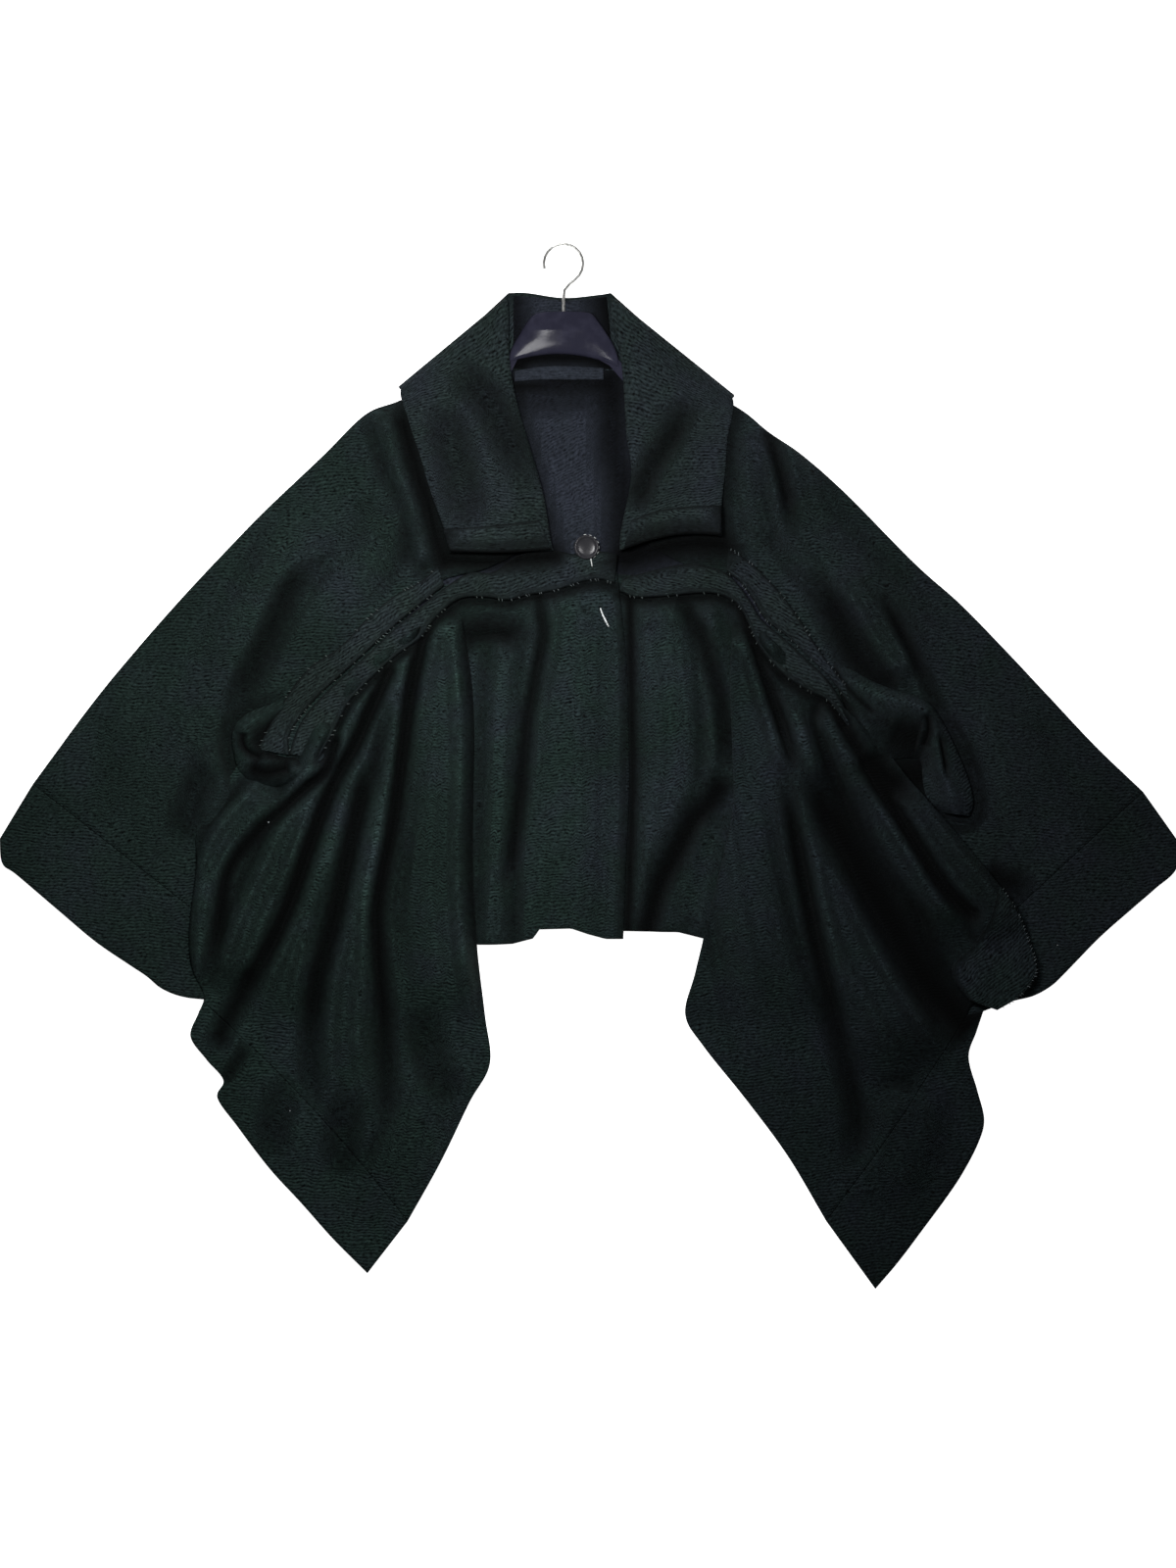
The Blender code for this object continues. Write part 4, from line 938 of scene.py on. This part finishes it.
# Materials
class Graph:
    """Short calls for the nodes of one material."""

    def __init__(self, name):
        self.made = bpy.data.materials.new(name)
        self.made.use_nodes = True
        self.nodes = self.made.node_tree.nodes
        self.links = self.made.node_tree.links
        self.shader = self.nodes["Principled BSDF"]

    def feed(self, node, inputs):
        for key, value in inputs.items():
            if isinstance(value, bpy.types.NodeSocket):
                self.links.new(value, node.inputs[key])
            else:
                node.inputs[key].default_value = value
        return node

    def add(self, kind, settings=None, inputs=None):
        node = self.nodes.new(kind)
        for key, value in (settings or {}).items():
            setattr(node, key, value)
        return self.feed(node, inputs or {})

    def math(self, operation, first, second=0.0):
        return self.add("ShaderNodeMath", {"operation": operation}, {0: first, 1: second}).outputs[0]

    def scaled(self, value, low, high, to_low, to_high):
        inputs = {"Value": value, "From Min": low, "From Max": high, "To Min": to_low, "To Max": to_high}
        return self.add("ShaderNodeMapRange", None, inputs).outputs[0]

    def total(self, *parts):
        whole = parts[0]
        for part in parts[1:]:
            whole = self.math("ADD", whole, part)
        return whole

    def product(self, *parts):
        whole = parts[0]
        for part in parts[1:]:
            whole = self.math("MULTIPLY", whole, part)
        return whole

    def mixed(self, share, first, second, blend="MIX"):
        node = self.add("ShaderNodeMix", {"data_type": "RGBA", "blend_type": blend})
        return self.feed(node, {0: share, 6: first, 7: second}).outputs[2]

    def noise(self, vector, scale, detail=3.0, roughness=0.55):
        inputs = {"Vector": vector, "Scale": scale, "Detail": detail, "Roughness": roughness}
        return self.add("ShaderNodeTexNoise", None, inputs).outputs["Fac"]

    def bands(self, direction, vector, size, distortion, detail_scale):
        settings = {"wave_type": "BANDS", "bands_direction": direction, "wave_profile": "SIN"}
        inputs = {"Vector": vector, "Scale": WAVE_UNIT / size, "Distortion": distortion}
        inputs.update({"Detail": 2.0, "Detail Scale": detail_scale})
        return self.add("ShaderNodeTexWave", settings, inputs).outputs["Fac"]

    def stretched(self, vector, scale):
        return self.add("ShaderNodeMapping", None, {"Vector": vector, "Scale": scale}).outputs[0]

    def place(self):
        return self.add("ShaderNodeTexCoord").outputs["Object"]

    def finish(self, colour, roughness, height, strength, distance):
        """Feeds the shader's colour, roughness and bump, and gives the material."""
        relief = {"Height": height, "Strength": strength, "Distance": distance}
        normal = self.add("ShaderNodeBump", None, relief).outputs[0]
        self.feed(self.shader, {"Base Color": colour, "Roughness": roughness, "Normal": normal})
        return self.made


def knit(name, green, blue, relief_depth=0.0008, lint=1.0, loft_share=1.0):
    """Fuzzy knit with fine courses: green-black towards the wearer's right, blue-black towards the left, with
    painted shade that darkens it towards the left.
    """
    g = Graph(name)
    grain = g.add("ShaderNodeAttribute", {"attribute_name": "grain"}).outputs["Vector"]
    place = g.place()
    swirl = {"Vector": grain, "Scale": SWIRL_SCALE, "Detail": 2.0}
    swirl = g.add("ShaderNodeTexNoise", None, swirl).outputs["Color"]
    added = {0: swirl, 1: (WAVER, WAVER, WAVER), 2: grain}
    waver = g.add("ShaderNodeVectorMath", {"operation": "MULTIPLY_ADD"}, added).outputs[0]
    courses = g.bands("Y", waver, COURSE, 1.5, 1.6)
    stitches = g.bands("DIAGONAL", waver, STITCH, 1.6, 2.2)
    fuzz = g.noise(grain, FUZZ_SCALE, 4.0, 0.7)
    dashes = g.noise(g.stretched(waver, DASH_SCALE), 1.0, 3.0, 0.6)
    clumps = g.noise(grain, CLUMP_SCALE, 3.0, 0.6)
    broad = g.noise(place, BROAD_SCALE, 3.0, 0.55)
    patches = g.noise(place, PATCH_SCALE, 2.0, 0.5)
    side = g.add("ShaderNodeSeparateXYZ", None, {0: place}).outputs[0]
    # The grain's third number is painted shade, and below 0 a painted highlight
    depth = g.add("ShaderNodeSeparateXYZ", None, {0: grain}).outputs[2]
    tint = g.total(
        g.scaled(side, -0.4, 0.5, 0.1, 0.62),
        g.scaled(broad, 0.3, 0.7, -0.3, 0.3),
        g.scaled(patches, 0.3, 0.7, -0.28, 0.28),
    )
    ribbed = g.total(g.product(courses, 0.55), g.product(stitches, 0.2))
    rib, dash = loft_share * 0.5, loft_share * 0.9
    shade = g.total(
        g.scaled(ribbed, 0.0, 0.75, 1 - rib, 1 + rib),
        g.scaled(fuzz, 0.25, 0.75, -0.35, 0.35),
        g.scaled(dashes, 0.28, 0.72, -dash, dash),
        g.scaled(clumps, 0.3, 0.7, -0.34, 0.34),
    )
    # Painted shade: darker towards the wearer's left, and darker or lighter by the shade and highlight
    # painted into each piece
    shade = g.product(
        shade,
        g.scaled(broad, 0.3, 0.7, 0.76, 1.24),
        g.scaled(side, 0.0, 0.4, 1.0, 0.74),
        g.scaled(depth, -1.0, 1.0, 1.96, 0.04),
    )
    grey = g.add("ShaderNodeCombineColor", None, {0: shade, 1: shade, 2: shade}).outputs[0]
    colour = g.mixed(1.0, g.mixed(tint, (*green, 1), (*blue, 1)), grey, "MULTIPLY")
    cells = g.add("ShaderNodeTexVoronoi", None, {"Vector": place, "Scale": LINT_SCALE, "Randomness": 1.0})
    near = g.math("LESS_THAN", cells.outputs["Distance"], LINT_SIZE)
    pick = g.add("ShaderNodeSeparateColor", None, {0: cells.outputs["Color"]}).outputs[0]
    speck = g.product(near, g.math("LESS_THAN", pick, LINT_SHARE * lint))
    colour = g.mixed(speck, colour, LINT_COLOUR)
    g.feed(g.shader, {"Specular IOR Level": 0.04, "Sheen Weight": 0.01, "Sheen Roughness": 0.6})
    g.feed(g.shader, {"Sheen Tint": (0.72, 0.82, 0.86, 1)})
    surface = g.total(ribbed, g.product(fuzz, 0.55), g.product(clumps, 0.5))
    return g.finish(colour, g.scaled(fuzz, 0.2, 0.8, 0.82, 0.98), surface, 1.0, relief_depth)


def plastic(name, colour, rough, grit, gloss):
    """Moulded plastic with a faint waviness, fine scratches and a little wear."""
    g = Graph(name)
    place = g.place()
    wear = g.noise(place, 60.0, 4.0, 0.6)
    scratch = g.noise(g.stretched(place, (500.0, 60.0, 300.0)), 1.0, 2.0, 0.5)
    pale = [part * 1.9 + 0.004 for part in colour]
    worn = g.mixed(g.scaled(wear, 0.45, 0.75, 0.0, 0.5), (*colour, 1), (*pale, 1))
    dull = g.scaled(wear, 0.3, 0.7, rough * 0.85, rough * 1.2)
    dull = g.total(dull, g.scaled(scratch, 0.5, 0.7, 0.0, 0.05))
    g.feed(g.shader, {"Specular IOR Level": gloss})
    surface = g.total(g.product(wear, 0.6), g.product(scratch, 0.1))
    return g.finish(worn, dull, surface, 0.2, grit)


def steel(name):
    """Drawn steel wire: bright, with a few dull spots."""
    g = Graph(name)
    spots = g.noise(g.place(), 260.0, 3.0, 0.6)
    colour = g.mixed(g.scaled(spots, 0.5, 0.75, 0.0, 0.6), (0.62, 0.62, 0.60, 1), (0.36, 0.35, 0.33, 1))
    g.feed(g.shader, {"Metallic": 1.0})
    return g.finish(colour, g.scaled(spots, 0.3, 0.7, 0.2, 0.42), spots, 0.3, 0.0001)


# Each knit's name, its greener and bluer tones, and where they differ its relief, lint and loft
WOOL = knit("wool_knit", (0.0078, 0.0148, 0.0128), (0.0086, 0.0110, 0.0145))
# The wings' knit and the right drape's knit are darker copies of the same wool, painted shade where less
# light falls
WOOL_SHADED_WING = knit("wool_knit_wing", (0.0068, 0.0124, 0.0109), (0.0076, 0.0096, 0.0126))
WOOL_SHADED_RIGHT = knit("wool_knit_right", (0.0058, 0.0108, 0.0097), (0.0063, 0.0084, 0.0109))
WOOL_COLLAR = knit("wool_knit_collar", (0.0074, 0.0118, 0.0110), (0.0082, 0.0098, 0.0135))
WOOL_IN = knit("wool_knit_inside", (0.0118, 0.0144, 0.0192), (0.0122, 0.0140, 0.0205), 0.0006, 1.0, 0.6)
WOOL_STRIP = knit("wool_knit_strip", (0.0086, 0.0134, 0.0125), (0.0090, 0.0110, 0.0150))
TAPE = knit("neck_tape_cloth", (0.0118, 0.0142, 0.0190), (0.0118, 0.0142, 0.0190), 0.0003, 1.0, 0.35)
THREAD = knit("edge_thread", (0.075, 0.095, 0.088), (0.078, 0.088, 0.100), 0.0001, 0.0, 0.5)
PALE_THREAD = knit("pale_thread", (0.42, 0.44, 0.42), (0.42, 0.43, 0.45), 0.0001, 0.0, 0.3)
HANGER_BLACK = plastic("hanger_black", (0.012, 0.012, 0.020), 0.1, 0.00005, 0.02)
BUTTON_GREY = plastic("button_grey", (0.015, 0.015, 0.017), 0.14, 0.00008, 0.045)
HOOK_STEEL = steel("hook_steel")


def make_back():
    plan = lofted(BACK, BACK_GRID)
    cloth("back", plan, back_under, planar_grain(plan, 28, PAINTED_SHADE_INSIDE), WOOL_IN)


def make_wing(side, sections, hem, folds, creases, turns):
    under = wing_under(folds, creases, outer_edge(sections) + hem[:1])
    plan = lofted(sections, WING_GRID)
    cloth(f"wing_front_{side}", plan, under, planar_grain(plan, turns[0], creases, folds), WOOL_SHADED_WING)
    cuff = band(plan[-1], hem, CUFF_ROWS)
    cloth(f"cuff_band_{side}", cuff, under, planar_grain(cuff, turns[1], creases, folds), WOOL_SHADED_WING)


def make_fronts():
    plan = with_hem(lofted(FRONT_LEFT, FRONT_LEFT_GRID), FRONT_HEM_LEFT)
    grain = planar_grain(plan, CENTRE_LEFT_TURN, CREASES_CENTRE_LEFT, FOLDS_CENTRE_LEFT)
    cloth("centre_front_left", plan, front_left_under, grain, WOOL)
    plan = with_hem(lofted(FRONT_RIGHT, FRONT_RIGHT_GRID), FRONT_HEM_RIGHT)
    grain = planar_grain(plan, 10, CREASES_CENTRE_RIGHT, FOLDS_CENTRE_RIGHT)
    cloth("centre_front_right", plan, front_right_under, grain, WOOL)


def make_drape(side, sections, hem, under, folds, creases, turn, wool):
    plan = lofted(sections, DRAPE_GRID)
    cloth(f"drape_{side}", plan, under, planar_grain(plan, turn, creases, folds), wool)
    edge = band(plan[-1], hem, DRAPE_HEM_ROWS)
    cloth(f"drape_hem_{side}", edge, under, planar_grain(edge, turn, creases, folds), wool)


def turned_band_under(x, drop):
    return drape_right_under(x, drop) + 2 * LAYER + BAND_LOFT


def make_turned_band():
    """The right drape's hem band turns over on itself beside the wing."""
    plan = lofted(TURNED_BAND, TURNED_BAND_GRID)
    grain = planar_grain(plan, TURNED_BAND_TURN)
    from_fold = np.linalg.norm(plan - plan[:, :1], axis=-1)
    # Painted shade over the whole band, darker along its fold
    grain[..., 2] += BAND_SHADE + BAND_FOLD_SHADE * np.exp(-((from_fold / BAND_FOLD_REACH) ** 2))
    cloth("turned_band_right", plan, turned_band_under, grain, WOOL)


def strip(name, sections, base, crown, turn, spacing=2.0):
    """A sewn strip: a little crowned, with a ridge where its lower seam is turned under."""
    table = through(sections, 200)
    length = np.linalg.norm(np.diff((table[:, 0:2] + table[:, 2:4]) / 2, axis=0), axis=1).sum()
    even = np.linspace(0, 1, STRIP_COLUMNS)
    share = even - STRIP_CROWDING * np.sin(2 * np.pi * even)
    plan = loft(sections, int(round(length / spacing)) + 1, share)
    width = np.linalg.norm(plan[:, -1] - plan[:, 0], axis=-1)[:, None]
    ridge = SEAM_RIDGE * np.exp(-(((1 - share)[None] * width - RIDGE_FROM_EDGE) / RIDGE_WIDTH) ** 2)
    arch = (4 * share * (1 - share))[None] ** ARCH_FULLNESS * crown + ridge
    inner = trimmed(plan, STRIP_RIM)
    x, drop = inner[..., 0], inner[..., 1]
    low = base(x, drop) + arch
    rim = world(plan[..., 0], plan[..., 1], low + CLOTH / 2)
    low, high = world(x, drop, low), world(x, drop, low + CLOTH)
    grain = strip_grain(plan, turn)
    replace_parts(shell_between(name + "_cloth", low, high, rim, grain, WOOL_STRIP), name)


def yoke_base(x, drop):
    return YOKE_LEVEL + drift(x, drop)


def make_yoke():
    for name, sections, turn in (
        ("yoke_lower_left", YOKE_LOWER_LEFT, 18),
        ("yoke_upper_left", YOKE_UPPER_LEFT, 30),
        ("yoke_lower_right", YOKE_LOWER_RIGHT, -16),
        ("yoke_upper_right", YOKE_UPPER_RIGHT, -28),
    ):
        strip(name, sections, yoke_base, 1.0, turn)


def slit_edge(name, sections, creases):
    """A turned edge: it rises to a rolled lip, and falls from there into the slit's hollow, with painted
    shade down into the hollow and a painted highlight on the lip.
    """
    table = through(sections, fine(sections, SLIT_GRID[0]))
    share = np.linspace(0, 1, SLIT_GRID[1])[None]
    outer, inner = table[:, None, 0:2], table[:, None, 2:4]
    plan = outer + (inner - outer) * share[..., None]
    lip, height, dark = (table[:, k][:, None] for k in (4, 5, 6))
    up = np.sin(np.pi / 2 * np.clip(share / lip, 0, 1)) ** LIP_FULLNESS
    down = np.cos(np.pi / 2 * np.clip((share - lip) / (1 - lip), 0, 1))
    x, drop = plan[..., 0], plan[..., 1]
    dents = np.prod([1 - SLIT_DENT * crease_profile(row, x, drop) for row in creases], axis=0)
    level = SLIT_OUTER_LEVEL + (SLIT_INNER_LEVEL - SLIT_OUTER_LEVEL) * share
    height = level + height * np.minimum(up, down) * dents
    # Painted shade down into the slit, and a painted highlight along the lip
    inside = dark * smooth((share - lip - SLIT_SHADE_START) / SLIT_SHADE_LENGTH)
    shade = 1 - (1 - hollow(creases, x, drop)) * (1 - inside)
    crest = CREST_HIGHLIGHT * np.exp(-(((share - lip) / SLIT_CREST_WIDTH) ** 2)) * (1 - shade)
    grain = planar_grain(plan, SLIT_TURN)
    grain[..., 2] = shade - crest
    shell_round(name, np.concatenate([plan, height[..., None]], 2), grain, WOOL)


def make_slits():
    slit_edge("slit_edge_left", SLIT_EDGE_LEFT, CREASES_SLIT_LEFT)
    slit_edge("slit_edge_right", SLIT_EDGE_RIGHT, CREASES_SLIT_RIGHT)


def collar_grid(rows_front, rows_bend, rows_back, columns):
    """The collar's middle surface: left front, its wrap under the shoulder, back, right wrap, right front."""
    level_top = COLLAR_LEVEL + CLOTH / 2
    level_under = CLOTH / 2
    radius = (level_top - level_under) / 2
    shares = np.linspace(0, 1, columns)
    share = shares[None, :, None]

    def flat(table, rows):
        places = through(table, rows)
        return places[:, None, 0:2] * (1 - share) + places[:, None, 2:4] * share

    def leaf(table, creases, hem_curve):
        plan = flat(table, rows_front)
        near_hem = np.exp(-((np.arange(rows_front) / COLLAR_HEM_REACH) ** 2))[:, None]
        plan[..., 1] -= hem_curve * near_hem * (4 * shares * (1 - shares))[None]
        x, drop = plan[..., 0], plan[..., 1]
        crown = LEAF_CROWN * np.sin(np.pi * shares)[None] ** ARCH_FULLNESS
        crown = crown * np.prod([1 - crease_profile(row, x, drop) for row in creases], axis=0)
        roll = ROLL_FALL * (1 - np.sqrt(1 - (1 - np.clip(shares / ROLL_SHARE, 0, 1)) ** 2))[None]
        return np.concatenate([plan, (level_top + crown + drift(x, drop) - DRIFT - roll)[..., None]], 2)

    left = leaf(COLLAR_FRONT_LEFT, CREASES_COLLAR_LEFT, 0.0)
    right = leaf(COLLAR_FRONT_RIGHT, CREASES_COLLAR_RIGHT, COLLAR_HEM_CURVE)[::-1]
    back_plan = flat(COLLAR_BACK, rows_back)
    back = np.concatenate([back_plan, np.full(back_plan.shape[:2] + (1,), level_under)], 2)

    def bend(start, outward):
        rows = []
        for angle in np.linspace(0, math.pi, rows_bend + 2)[1:-1]:
            row = start.copy()
            row[:, 0:2] += outward * radius * BEND_BULGE * math.sin(angle)
            row[:, 2] = level_under + radius * (1 + math.cos(angle))
            rows.append(row)
        return np.array(rows)

    left_bend = bend((left[-1] + back[0]) / 2, np.array(LEFT_WRAP))
    right_bend = bend((right[0] + back[-1]) / 2, np.array(RIGHT_WRAP))[::-1]
    return np.concatenate([left, left_bend, back, right_bend, right])


def make_collar():
    middle = collar_grid(*COLLAR_ROWS, COLLAR_POINTS)
    step = np.linalg.norm(np.diff(middle.mean(1), axis=0), axis=-1)
    across = np.linalg.norm(middle - middle[:, :1], axis=-1)
    length = np.concatenate([[0], np.cumsum(step)])[:, None] + np.zeros(across.shape)
    x, drop = middle[..., 0], middle[..., 1]
    # Painted shade along the collar's creases, and the whole collar a little paler
    dark = [crease_shade(row, x, drop) for row in CREASES_COLLAR_LEFT + CREASES_COLLAR_RIGHT]
    shade = np.max(dark, axis=0) * COLLAR_CREASE_SHADE - COLLAR_PALER
    shell_round("collar", middle, np.stack([across * MM, length * MM, shade], -1), WOOL_COLLAR)

    def base(x, drop):
        return COLLAR_LEVEL + LAYER + LEAF_CROWN + drift(x, drop) - DRIFT

    for side, sections, turn in (("left", COLLAR_END_LEFT, 4), ("right", COLLAR_END_RIGHT, -8)):
        strip(f"collar_end_{side}", sections, base, COLLAR_END_CROWN, turn, COLLAR_END_SPACING)


def level_at(height):
    return lambda x, drop: np.full(x.shape, height)


def make_neck():
    plan = lofted(COLLAR_STAND, STAND_GRID)
    cloth("collar_stand", plan, level_at(LAYER), planar_grain(plan, 0, PAINTED_SHADE_STAND), WOOL_IN)
    plan = loft(NECK_TAPE, TAPE_ROWS, TAPE_POINTS)
    cloth("neck_tape", plan, level_at(2 * LAYER), planar_grain(plan, 0), TAPE, TAPE_THICK)


def add_rings(faces, first, rings, sides):
    """Joins rings of points into a tube, and closes its two ends."""
    for start in range(first, first + (rings - 1) * sides, sides):
        for k in range(sides):
            following = (k + 1) % sides
            faces.append((start + k, start + following, start + sides + following, start + sides + k))
    faces.append(tuple(range(first, first + sides)))
    faces.append(tuple(range(first + (rings - 1) * sides, first + rings * sides)))


def add_tube(points, faces, centres, radius, sides=6):
    """Adds a closed round tube through centres given as x, drop and height."""
    centres = np.asarray(centres, float)
    ahead = unit(np.gradient(centres, axis=0))
    side = unit(np.cross(ahead, (0.0, 0.0, 1.0)))
    up = np.cross(side, ahead)
    first = len(points)
    for centre, outward, upward in zip(centres, side, up):
        for angle in np.arange(sides) * 2 * np.pi / sides:
            points.append(centre + radius * (math.cos(angle) * outward + math.sin(angle) * upward))
    add_rings(faces, first, len(centres), sides)


def round_piece(name, points, faces, material, stored=True):
    """A piece made of closed tubes or turned forms, with its faces turned outwards."""
    points = np.array(points)
    grain = np.concatenate([points[:, 0:2] * MM, np.zeros((len(points), 1))], 1) if stored else None
    piece = new_piece(name, world(points[:, 0], points[:, 1], points[:, 2]), faces, material, grain)
    body = bmesh.new()
    body.from_mesh(piece.data)
    bmesh.ops.recalc_face_normals(body, faces=body.faces)
    body.to_mesh(piece.data)
    body.free()
    return piece


def stitch_row(name, path, height, seed, kept):
    """Overlock threads that cross a seam: slanted, uneven and missing in places."""
    chance = np.random.default_rng(seed)
    line = through(path, 30 * len(path))
    walked = np.concatenate([[0], np.cumsum(np.linalg.norm(np.diff(line, axis=0), axis=1))])
    points, faces = [], []
    for at in np.arange(STITCH_SPACING, walked[-1] - STITCH_SPACING, STITCH_SPACING):
        if chance.random() > kept:
            continue
        at += chance.uniform(-STITCH_JITTER, STITCH_JITTER) * STITCH_SPACING
        spot = np.array([np.interp(at, walked, line[:, k]) for k in range(2)])
        ahead = unit(np.array([np.interp(at + 1, walked, line[:, k]) for k in range(2)]) - spot)
        lean = np.array([-ahead[1], ahead[0]]) + ahead * chance.uniform(*STITCH_LEAN)
        half = STITCH_REACH * chance.uniform(*STITCH_HALF)
        level = float(height(spot[0], spot[1]))
        centres = [(*(spot + lean * half * place), level + lift) for place, lift in STITCH_PLACES]
        add_tube(points, faces, centres, STITCH_RADIUS, STITCH_SIDES)
    round_piece(name, points, faces, THREAD)


def make_stitches():
    """The overlock threads that show along the yoke's strips and the turned band."""

    def on_yoke(x, drop):
        return yoke_base(x, drop) + CLOTH + STITCH_LIFT

    def on_turned_band(x, drop):
        return turned_band_under(np.array(x), np.array(drop)) + CLOTH

    rows = [
        ("yoke_left_low", inner_edge(YOKE_LOWER_LEFT), on_yoke, 0.45),
        ("yoke_left_middle", inner_edge(YOKE_UPPER_LEFT), on_yoke, 0.5),
        ("yoke_left_high", outer_edge(YOKE_UPPER_LEFT), on_yoke, 0.35),
        ("yoke_right_low", inner_edge(YOKE_LOWER_RIGHT), on_yoke, 0.35),
        ("yoke_right_middle", inner_edge(YOKE_UPPER_RIGHT), on_yoke, 0.5),
        ("yoke_right_high", outer_edge(YOKE_UPPER_RIGHT), on_yoke, 0.35),
        ("turned_band_edge", inner_edge(TURNED_BAND), on_turned_band, 0.85),
    ]
    for seed, (name, path, height, kept) in enumerate(rows):
        stitch_row(f"stitches_{name}", path, height, FIRST_SEED + seed, kept)


def make_button():
    """A dished coat button with a raised rim, its thread and pale dashes round its rim, and the loose thread
    below it.
    """
    turned = through(BUTTON_PROFILE, BUTTON_RINGS)[1:-1]
    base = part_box("button")[0][2] / MM

    def round_button(angle, radius, height):
        return (BUTTON_X + radius * math.cos(angle), BUTTON_DROP + radius * math.sin(angle), base + height)

    turns = np.arange(BUTTON_SIDES) * 2 * np.pi / BUTTON_SIDES
    points = [round_button(angle, radius, height) for radius, height in turned for angle in turns]
    faces = []
    add_rings(faces, 0, len(turned), BUTTON_SIDES)
    piece = round_piece("button_dished", points, faces, BUTTON_GREY, False)
    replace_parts(piece, "button")
    points, faces = [], []
    add_tube(points, faces, [(x, drop, base + lift) for x, drop, lift in BUTTON_THREAD], BUTTON_THREAD_RADIUS)
    for angle in np.linspace(*BUTTON_DASHES):
        arc = [angle + step * BUTTON_DASH for step in (-0.5, 0, 0.5)]
        add_tube(points, faces, [round_button(turn, DASH_AWAY, DASH_LIFT) for turn in arc], DASH_RADIUS)
    round_piece("button_thread", points, faces, PALE_THREAD)
    level = float(front_left_under(*np.array(LOOSE_THREAD_SPOT))) + CLOTH
    points, faces = [], []
    add_tube(points, faces, [(x, drop, level + lift) for x, drop, lift in LOOSE_THREAD], LOOSE_THREAD_RADIUS)
    round_piece("loose_thread", points, faces, PALE_THREAD)


def make_hanger():
    """The hanger's moulded boss, highest at its lower lip, on the CAD's own arms."""
    rows, columns = BOSS_ROWS, BOSS_POINTS
    plan = loft(HANGER_BOSS, rows, columns)
    down = np.linspace(0, 1, rows)[:, None]
    across = np.linspace(-1, 1, columns)[None]
    lip = np.sqrt(np.clip(1 - (1 - np.clip((1 - down) / BOSS_LIP, 0, 1)) ** 2, 0, 1))
    head = smooth(down / BOSS_HEAD)
    sides = np.sqrt(np.clip(1 - np.abs(across) ** BOSS_SQUARE, 0, 1))
    bevel = 1 - BOSS_BEVEL * np.clip((down - BOSS_BEVEL_START) / (1 - BOSS_BEVEL_START), 0, 1)
    height = BOSS_RISE * bevel * lip * head * sides * (1 - BOSS_CROWN * across**2)
    level = HANGER_LEVEL + HANGER_THICK
    inner = trimmed(plan, BOSS_TRIM)
    x, drop = inner[..., 0], inner[..., 1]
    low = world(x, drop, np.full(x.shape, level - BOSS_SUNK))
    high = world(x, drop, level + height)
    rim = world(plan[..., 0], plan[..., 1], np.full(x.shape, level - BOSS_SUNK / 2))
    grain = np.zeros(x.shape + (3,))
    shell_between("hanger_boss", low, high, rim, grain, HANGER_BLACK)
    for node, finish in (("hanger", HANGER_BLACK), ("hanger_hook", HOOK_STEEL)):
        for slot in bpy.data.objects[node].material_slots:
            slot.material = finish


def make_stage():
    """A plain pale floor, soft light from all round, and the camera straight above."""
    half, low = FLOOR_HALF, FLOOR_LEVEL
    corners = [(-half, -half, low), (half, -half, low), (half, half, low), (-half, half, low)]
    floor_mesh = bpy.data.meshes.new("floor")
    floor_mesh.from_pydata(corners, [], [(0, 1, 2, 3)])
    g = Graph("floor_pale")
    tone = g.mixed(g.scaled(g.noise(g.place(), 3.0), 0.3, 0.7, 0.0, 1.0), *FLOOR_TONES)
    g.feed(g.shader, {"Base Color": tone, "Roughness": 0.95, "Specular IOR Level": 0.0})
    g.feed(g.shader, {"Emission Color": (1, 1, 1, 1), "Emission Strength": FLOOR_GLOW})
    floor_mesh.materials.append(g.made)
    floor = bpy.data.objects.new("floor", floor_mesh)
    bpy.context.scene.collection.objects.link(floor)

    scene = bpy.context.scene
    sky = bpy.data.worlds.new("studio")
    sky.use_nodes = True
    sky.node_tree.nodes["Background"].inputs["Color"].default_value = (1.0, 1.0, 1.0, 1)
    sky.node_tree.nodes["Background"].inputs["Strength"].default_value = SKY_POWER
    scene.world = sky
    scene.view_settings.view_transform = "Standard"

    for row in LIGHTS:
        data = bpy.data.lights.new(row.name, "AREA")
        data.size = row.size
        data.energy = row.power
        light = bpy.data.objects.new(row.name, data)
        light.location = row.place
        light.rotation_euler = (-Vector(row.place)).to_track_quat("-Z", "Y").to_euler()
        scene.collection.objects.link(light)

    camera_data = bpy.data.cameras.new("camera")
    camera_data.sensor_width = SENSOR
    camera_data.lens = SENSOR * CAMERA_HEIGHT / FRAME_TALL
    camera = bpy.data.objects.new("camera", camera_data)
    camera.location = (0, (MIDDLE_DROP - VIEW_DROP) * MM, CAMERA_HEIGHT)
    scene.collection.objects.link(camera)
    scene.camera = camera


make_back()
make_wing("left", WING_LEFT, CUFF_HEM_LEFT, FOLDS_WING_LEFT, CREASES_WING_LEFT, (2, -3))
make_wing("right", WING_RIGHT, CUFF_HEM_RIGHT, FOLDS_WING_RIGHT, CREASES_WING_RIGHT, (-3, 3))
make_fronts()
make_drape("left", DRAPE_LEFT, DRAPE_HEM_LEFT, drape_left_under, FOLDS_LEFT, CREASES_LEFT, -3, WOOL)
make_drape(
    "right", DRAPE_RIGHT, DRAPE_HEM_RIGHT, drape_right_under, FOLDS_RIGHT, CREASES_RIGHT, 5, WOOL_SHADED_RIGHT
)
make_turned_band()
make_yoke()
make_slits()
make_collar()
make_neck()
make_stitches()
make_button()
make_hanger()
make_stage()
